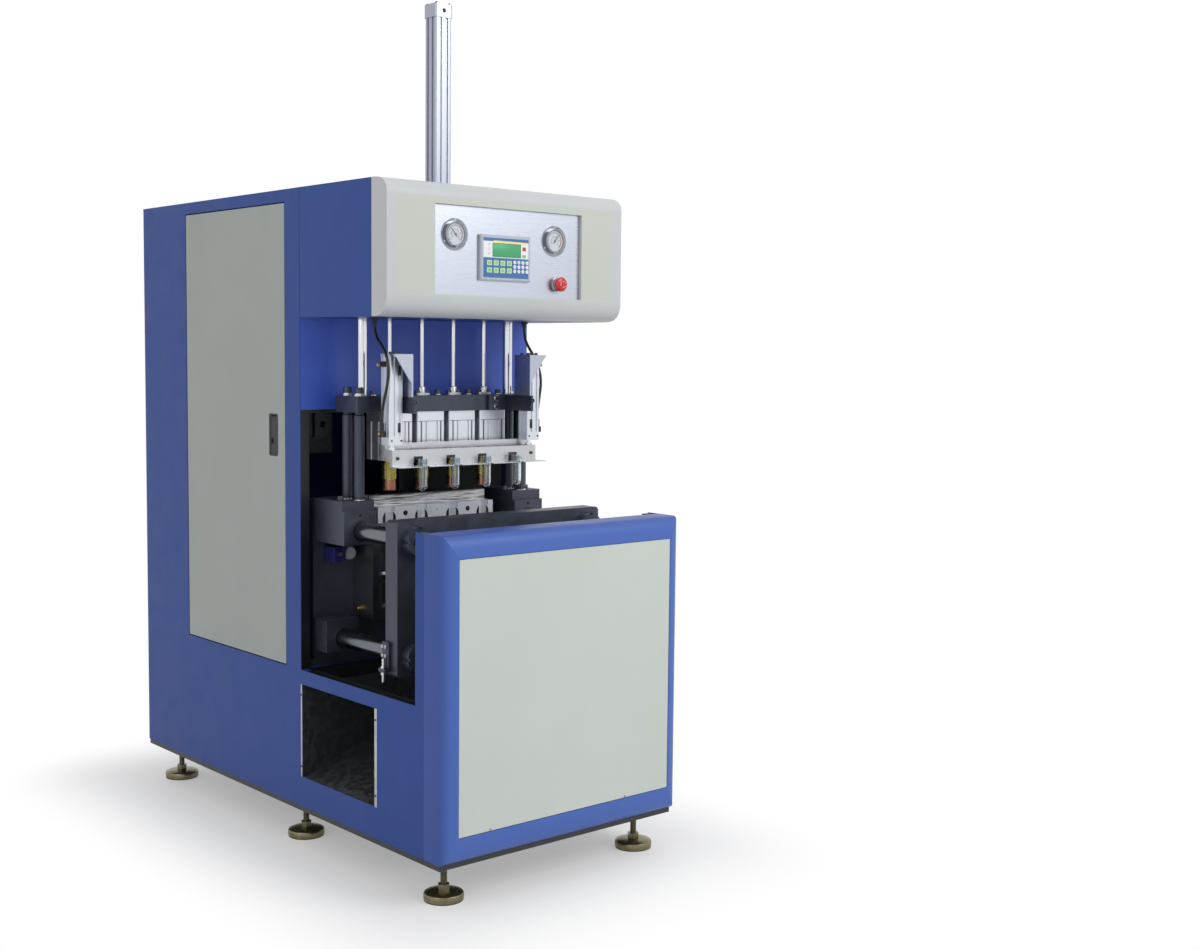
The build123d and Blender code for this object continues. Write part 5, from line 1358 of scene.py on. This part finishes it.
@dataclass
class PreformLoader:
    """Fittings of the loader's two cylinders, and the threads of the preforms."""

    x: float = 0.239
    y: float = -0.3525
    half: float = 0.0225
    top: float = 1.393
    tie: float = 0.0145
    beam_top: float = 1.130
    neck_z: float = 1.086
    preform_y: float = -0.3925

    def fittings(self) -> None:
        """Speed controllers on the outer sides: black elbows at the top, with knurled brass screws."""
        body = Piece("speed_controllers", BLACK_PLASTIC)
        knob = Piece("speed_knobs", NOZZLE_BRASS)
        for side in BOTH:
            face = side * (self.x + self.half)
            for z, reach in ((1.3635, 0.016), (1.176, 0.012)):
                steps = ((0, -0.001), (0.006, -0.001), (0.006, reach * 0.7), (0.0045, reach), (0, reach))
                body.turned([(radius, face + side * out) for radius, out in steps], (self.y, z), Axis.X, 20)
                far = reach + 0.008
                steps = ((0, reach), (0.0028, reach), (0.0028, far - 0.006), (0.0048, far - 0.006),
                         (0.0048, far), (0, far))
                knob.turned([(radius, face + side * out) for radius, out in steps], (self.y, z), Axis.X, 14)
            body.box((face - side * 0.001, self.y - 0.006, 1.3575),
                     (face + side * 0.013, self.y + 0.006, 1.3725), 0.001)
        body.build()
        knob.build()

    def sensors(self) -> None:
        """End switches in the cylinders' front grooves."""
        piece = Piece("end_switches", BLACK_PLASTIC)
        front = self.y - self.half
        for side, low in product(BOTH, (1.1795, 1.335)):
            x = side * (self.x - 0.009)
            piece.box((x - 0.0032, front - 0.003, low), (x + 0.0032, front + 0.001, low + 0.026), 0.0008)
        piece.build()

    def rod_nuts(self) -> None:
        """Lock nuts where the piston rods enter the beam."""
        nuts = Piece("rod_lock_nuts", BRIGHT_FASTENER, "loader")
        for side in BOTH:
            hexagon = polygon((side * self.x, self.y), 0.0104, 6)
            nuts.prism(hexagon, Axis.Z, self.beam_top, self.beam_top + 0.007, 0.0006)
        nuts.build()

    def build(self) -> None:
        """Makes the loader's fittings, screws and threads."""
        ties = [(self.x + sx * self.tie, self.y + sy * self.tie, self.top) for sx, sy in CORNERS]
        screws("bracket_screws", 0.0062, facing(UP, mirrored(ties)))
        self.fittings()
        self.sensors()
        caps = [(side * self.x + d, self.y - self.half, 1.157) for side in BOTH for d in (-0.0155, 0.0155)]
        screws("cylinder_cap_screws", 0.0032, facing(FRONT, caps), low=True)
        self.rod_nuts()
        ends = [(side * (self.x - 0.006), -0.3715, 1.108) for side in BOTH]
        screws("beam_end_screws", 0.006, facing(FRONT, ends), low=True, body="loader")
        turns = [(x, self.preform_y, self.neck_z + lift) for x in CAVITIES
                 for lift in (0.0075, 0.0115, 0.0155)]
        sizes = {"Radius": 0.01295, "Section": 0.0009, "Corners": 6, "Facets": 32}
        scatter("preform_threads", ring_tree(), sizes, PREFORM_CLEAR, facing(UP, turns), "loader")


# Clamp
@dataclass
class MouldClamp:
    """Lock bar, neck seats and fittings of the clamp."""

    bar_half: float = 0.197
    bar_y: float = -0.1945
    bar_depth: float = 0.022
    neck_top: float = 0.96
    bar_height: float = 0.03
    neck_low: float = 0.9155
    seat_top: float = 0.9452
    hole_x: float = 0.110
    hole_z: float = 0.9395
    stud: Pair = (-0.362, -0.497)

    def lock_bar(self) -> None:
        """Polished bar with two lengthwise grooves on its face and a bevelled top edge."""
        y, z, top = self.bar_y, self.neck_top, self.neck_top + self.bar_height
        back, bevel, groove = y + self.bar_depth, 0.003, 0.0016
        outline = [(y, z), (back, z), (back, top - bevel), (back - bevel, top), (y + bevel, top),
                   (y, top - bevel)]
        for middle in (z + 0.0195, z + 0.0105):
            outline += [(y, middle + 0.0022), (y + groove, middle + 0.0012), (y + groove, middle - 0.0012),
                        (y, middle - 0.0022)]
        piece = Piece("polished_lock_bar", POLISHED)
        piece.prism(outline, Axis.X, -self.bar_half, self.bar_half)
        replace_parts(piece.build(), "lock_bar")
        spots = [(x, y + 0.006, top) for x in (-0.0275, 0.0275, -0.178, 0.178)]
        screws("lock_bar_screws", 0.0048, facing(UP, spots))

    def neck_seats(self) -> None:
        """Half rings that line each neck, the dark seats beside them, and the plugs and pin between."""
        face, proud = CAVITY_Y, CAVITY_Y - 0.00015
        liner = Piece("neck_liners", BRIGHT_STEEL)
        seat = Piece("neck_seats", HARDENED)
        reach, low = 0.0225, self.neck_low
        arc = [radians(54) * k / 8 for k in range(9)]
        for x in CAVITIES:
            liner.band((x, face + 0.0004), (0.0134, 0.0165), (180, 0), Axis.Z, low, self.seat_top)
            for side in BOTH:
                outline = [(x + side * 0.0132, low), (x + side * reach, low)]
                outline += [(x + side * reach * cos(a), 0.926 + 0.0235 * sin(a)) for a in arc]
                seat.prism(outline, Axis.Y, proud, face + 0.001)
        liner.build()
        seat.build()
        holes = [(-self.hole_x, self.hole_z), (self.hole_x, self.hole_z)]
        for name, finish, radius, centres, facets in (
                ("neck_plate_plugs", HARDENED, 0.0075, holes, 28),
                ("neck_plate_pin", POLISHED, 0.0035, [(0, 0.9435)], 20)):
            plug = washer(0, radius, face + 0.002, proud)
            revolve(name, finish, plug, centres, Axis.Y, facets, closed=False)

    def block_fittings(self) -> None:
        """Grease nipple and cap screws of the bearing blocks, with felt wipers round the tie bars."""
        screws("bearing_grease_screws", 0.005, facing(FRONT, mirrored([(0.2955, -0.2835, 0.949)])), HARDENED,
               low=True)
        spots = [(0.284 + d, CAVITY_Y, 0.988) for d in (-0.038, 0.042)]
        screws("bearing_block_screws", 0.011, facing(UP, mirrored(spots)))
        wiper = Piece("tie_bar_wipers", SEAL_RUBBER)
        for x, (z, y) in product((-0.296, 0.296), ((0.905, -0.2835), (0.595, -0.1925))):
            wiper.turned([(0.0253, y), (0.0305, y), (0.0305, y - 0.0025), (0.0285, y - 0.004),
                          (0.0253, y - 0.004)], (x, z), Axis.Y, closed=True)
        wiper.build()

    def platen_fittings(self) -> None:
        """Valve and pressure knob on the fixed platen, and water nipples on both mould halves."""
        valve = Piece("platen_valve", VALVE_BLUE)
        valve.box((-0.314, -0.176, 0.808), (-0.276, -0.1205, 0.850), 0.002)
        valve.build()
        knob = [(0, -0.1205), (0.012, -0.1205), (0.012, -0.142), (0.0175, -0.144), (0.0185, -0.149),
                (0.0185, -0.163), (0.016, -0.166), (0, -0.166)]
        revolve("platen_knob", GREY_PLASTIC, knob, [(-0.253, 0.828)], Axis.Y, 28, closed=False)
        plug = washer(0, 0.007, -0.176, -0.180)
        revolve("valve_plug", BRIGHT_FASTENER, plug, [(-0.295, 0.829)], Axis.Y, 20, closed=False)
        nipple = ((0, 0), (0.0075, 0), (0.0075, 0.005), (0.0045, 0.005), (0.0052, 0.010), (0.0042, 0.0102),
                  (0.0050, 0.016), (0.0036, 0.018), (0, 0.018))
        for name, body, y in (("rear_mould_nipples", MACHINE, -0.175),
                              ("front_mould_nipples", "clamp", -0.433)):
            piece = Piece(name, NOZZLE_BRASS, body)
            for side, z in product(BOTH, (0.67, 0.885)):
                piece.turned([(radius, side * (0.22 + out)) for radius, out in nipple], (y, z), Axis.X, 14)
            piece.build()

    def platen_screws(self) -> None:
        """Cap screws of the moving platen, and the stop bracket with its stud on the left edge."""
        spots = [(x, -0.5418, z) for x in (-0.18, -0.06, 0.06, 0.18) for z in (0.66, 0.89)]
        screws("platen_screws", 0.014, facing(FRONT, spots), body="clamp")
        bracket = Piece("stop_bracket", STEEL, "clamp")
        bracket.box((-0.356, -0.512, 0.556), (-0.348, -0.482, 0.636), 0.001)
        bracket.box((-0.368, -0.512, 0.556), (-0.356, -0.482, 0.566), 0.001)
        bracket.build()
        stud = Piece("stop_stud", BRIGHT_FASTENER, "clamp")
        stud.turned([(0, 0.528), (0.0035, 0.528), (0.004, 0.530), (0.004, 0.590), (0.0035, 0.592),
                     (0, 0.592)], self.stud, facets=18)
        for low in (0.549, 0.566):
            stud.prism(polygon(self.stud, 0.0075, 6), Axis.Z, low, low + 0.0065, 0.0005)
        stud.build()
        heads = [(-0.356, y, z) for y in (-0.504, -0.490) for z in (0.600, 0.624)]
        screws("stop_bracket_screws", 0.006, facing(LEFT, heads), BRIGHT_FASTENER, body="clamp")

    def build(self) -> None:
        """Makes all that the clamp carries."""
        self.lock_bar()
        self.neck_seats()
        self.block_fittings()
        self.platen_fittings()
        self.platen_screws()


# Lower parts
@dataclass
class BottleChute:
    """Rim of the bottle chute's mouth on the left side."""

    x: float = -0.4
    z: Pair = (0.205, 0.468)
    strips: tuple[Pair, Pair] = ((-0.5265, 0.012), (-0.1465, 0.0065))

    def build(self) -> None:
        """Bright strips down both edges of the mouth, each held by two black screws."""
        piece = Piece("chute_strips", GALVANISED)
        face, (low, high) = self.x - 0.0015, self.z
        spots = []
        for y, width in self.strips:
            piece.box((face, y, low), (self.x, y + width, high), 0.0004)
            spots += [(face, y + width / 2, z) for z in (low + 0.03, high - 0.03)]
        piece.build()
        screws("chute_strip_screws", 0.0035, facing(LEFT, spots), low=True)


@dataclass
class LevellingFeet:
    """Threads, pads and rubber soles of the six feet."""

    x: float = 0.33
    rows: Point = (-0.7275, -0.0465, 0.7425)
    stud: float = 0.0079
    low: float = 0.043
    high: float = 0.088
    pitch: float = 0.002

    def build(self) -> None:
        """A stack of rings for each stud's thread, a domed cap on each pad and a dark sole under it."""
        centres = list(product((-self.x, self.x), self.rows))
        turns = int((self.high - self.low) / self.pitch)
        spots = [(x, y, self.low + self.pitch * k) for x, y in centres for k in range(turns + 1)]
        sizes = {"Radius": self.stud, "Section": 0.0009, "Corners": 4, "Facets": 16}
        scatter("foot_threads", ring_tree(), sizes, ZINC, facing(UP, spots))
        revolve("foot_pad_caps", ZINC, [
            (0.0145, 0.0262), (0.0145, 0.0240), (0.0500, 0.0010), (0.0518, 0.0026), (0.0523, 0.0060),
            (0.0520, 0.0165), (0.0500, 0.0198), (0.0440, 0.0222), (0.0300, 0.0252)], centres)
        revolve("foot_soles", SEAL_RUBBER, [
            (0.0468, 0.0), (0.0512, 0.0), (0.0515, 0.003), (0.0507, 0.0055), (0.0502, 0.0055),
            (0.0502, 0.0029), (0.0468, 0.0002)], centres)


@dataclass
class CabinetInside:
    """Switchgear details, ducts and weld seams seen when a side door stands open.

    Each row of units has its foot, its height and the place of its face.
    """

    board_y: float = 0.8025
    first_x: float = -0.2032
    pitch: float = 0.0657
    units: int = 7
    rows: tuple[Point, Point, Point] = ((1.10, 0.09, 0.7245), (1.28, 0.08, 0.7345), (1.46, 0.13, 0.6995))
    duct_z: Pair = (1.215, 1.39)
    tank: Pair = (0.5325, 0.339)
    tank_radius: float = 0.12

    def weld_seams(self) -> None:
        """Raised weld beads round the air receiver."""
        piece = Piece("tank_welds", TANK_GREY)
        inner, outer = self.tank_radius - 0.001, self.tank_radius + 0.0014
        for x in (-0.245, 0, 0.245):
            piece.turned([(inner, x - 0.004), (outer, x - 0.002), (outer, x + 0.002), (inner, x + 0.004)],
                         self.tank, Axis.X, 56, closed=True)
        piece.build()

    def switchgear(self) -> None:
        """Levers, windows and terminal screws on three rows of units, with slotted ducts between the rows."""
        places = [self.first_x + self.pitch * k for k in range(self.units)]
        heads = [(x + d, face, z) for low, height, face in self.rows for x in places for d in (-0.012, 0.012)
                 for z in (low + 0.009, low + height - 0.009)]
        screws("terminal_screws", 0.004, facing(FRONT, heads), BRIGHT_FASTENER, low=True)
        details = (("breaker_levers", (0.014, 0.01, 0.02), BLACK_PLASTIC, 0.004, 0.5),
                   ("relay_windows", (0.022, 0.002, 0.014), KEY_GREEN, 0.0005, 0.5),
                   ("drive_windows", (0.034, 0.002, 0.018), PRINT_BLACK, 0.0005, 0.7))
        for (low, height, face), (name, size, finish, out, share) in zip(self.rows, details):
            bars(name, size, finish, facing(UP, [(x, face - out, low + height * share) for x in places]))
        duct = Piece("cable_ducts", GREY_PLASTIC)
        front = self.board_y - 0.04
        for z in self.duct_z:
            duct.box((-0.25, front, z), (0.25, self.board_y, z + 0.04), 0.001)
        duct.build()
        fingers = [(-0.24 + 0.012 * k, front, z + 0.02) for z in self.duct_z for k in range(41)]
        bars("duct_fingers", (0.008, 0.002, 0.034), GREY_PLASTIC, facing(UP, fingers))

    def build(self) -> None:
        """Makes what the cabinet shows inside."""
        self.weld_seams()
        self.switchgear()


# Air hoses
@dataclass
class AirHoses:
    """The two air hoses between the loader cylinders and the head.

    Each route gives, from the elbow up, the share of the rise, how far it bows inwards and how far back.
    """

    elbow: Point = (0.2715, -0.3525, 1.205)
    rise: float = 0.269
    diameter: float = 0.008
    front_bow: float = 0.034
    side_bow: float = 0.016
    setback: float = 0.060
    inset: float = 0.0035

    def route(self, side: int) -> list[Point]:
        """Points from the elbow up to the fitting under the head; side is -1 or 1."""
        front, back = self.front_bow, self.setback
        if side < 0:
            steps = [(0, 0, 0), (0.08, 0, 0), (0.21, 0, -0.25 * front), (0.37, 0, -0.75 * front)]
            steps += [(0.51, 0, -front), (0.66, 0, -0.8 * front), (0.76, 0.3, -0.15 * front)]
            steps += [(0.89, 1, 0.67 * back), (1, 1, 0.67 * back)]
        else:
            steps = [(0, 0, 0), (0.08, 0, 0), (0.22, -0.4, 0), (0.4, -0.9, 0), (0.56, -1, 0.2 * back)]
            steps += [(0.71, -0.6, 0.6 * back), (0.83, 0.2, 0.9 * back), (0.93, 1, back), (1, 1, back)]
        x, y, z = self.elbow
        return [(side * (x - inward * (self.inset if inward > 0 else self.side_bow)), y + behind,
                 z + height * self.rise) for height, inward, behind in steps]

    def hose(self, name: str, side: int, length: float) -> None:
        """One hose on its smooth spline; its real length is only logged."""
        data = bpy.data.curves.new(name, "CURVE")
        data.dimensions = "3D"
        data.bevel_depth = self.diameter / 2
        data.bevel_resolution = 5
        data.use_fill_caps = True
        data.resolution_u = 16
        line = data.splines.new("NURBS")
        points = self.route(side)
        line.points.add(len(points) - 1)
        for point, place in zip(line.points, points):
            point.co = (*place, 1)
        line.order_u = 3
        line.use_endpoint_u = True
        data.materials.append(HOSE_BLACK.material())
        item = new_object(f"{name}_line", data)
        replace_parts(item, name)
        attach(item, MACHINE)
        LOG.info("%s: %.3f m of hose", item.name, length)

    def build(self) -> None:
        """Makes both hoses."""
        self.hose("left_hose", -1, 0.3016)
        self.hose("right_hose", 1, 0.2847)


def dress_frame() -> None:
    """Gives every carried-over node its own finish."""
    for finish, names in NODE_FINISHES:
        for item in (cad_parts[name] for name in names.split()):
            for entry in item.material_slots:
                entry.material = finish.material()
            if not item.material_slots:
                item.data.materials.append(finish.material())
            LOG.info("%s: %s", item.name, finish.name)


def main() -> None:
    """Builds the studio and every sub-assembly, in order."""
    logging.basicConfig(level=logging.INFO, format="%(name)s %(message)s")
    bpy.context.scene.view_settings.view_transform = "Standard"
    Studio().build()
    AirHoses().build()
    dress_frame()
    for assembly in (SheetBody(), SideDoors(), FrontCover(), ControlPlate(), StretchUnit(), BlowStation(),
                     PreformLoader(), MouldClamp(), BottleChute(), LevellingFeet(), CabinetInside()):
        LOG.info("building %s", type(assembly).__name__)
        assembly.build()


if __name__ == "__main__":
    main()
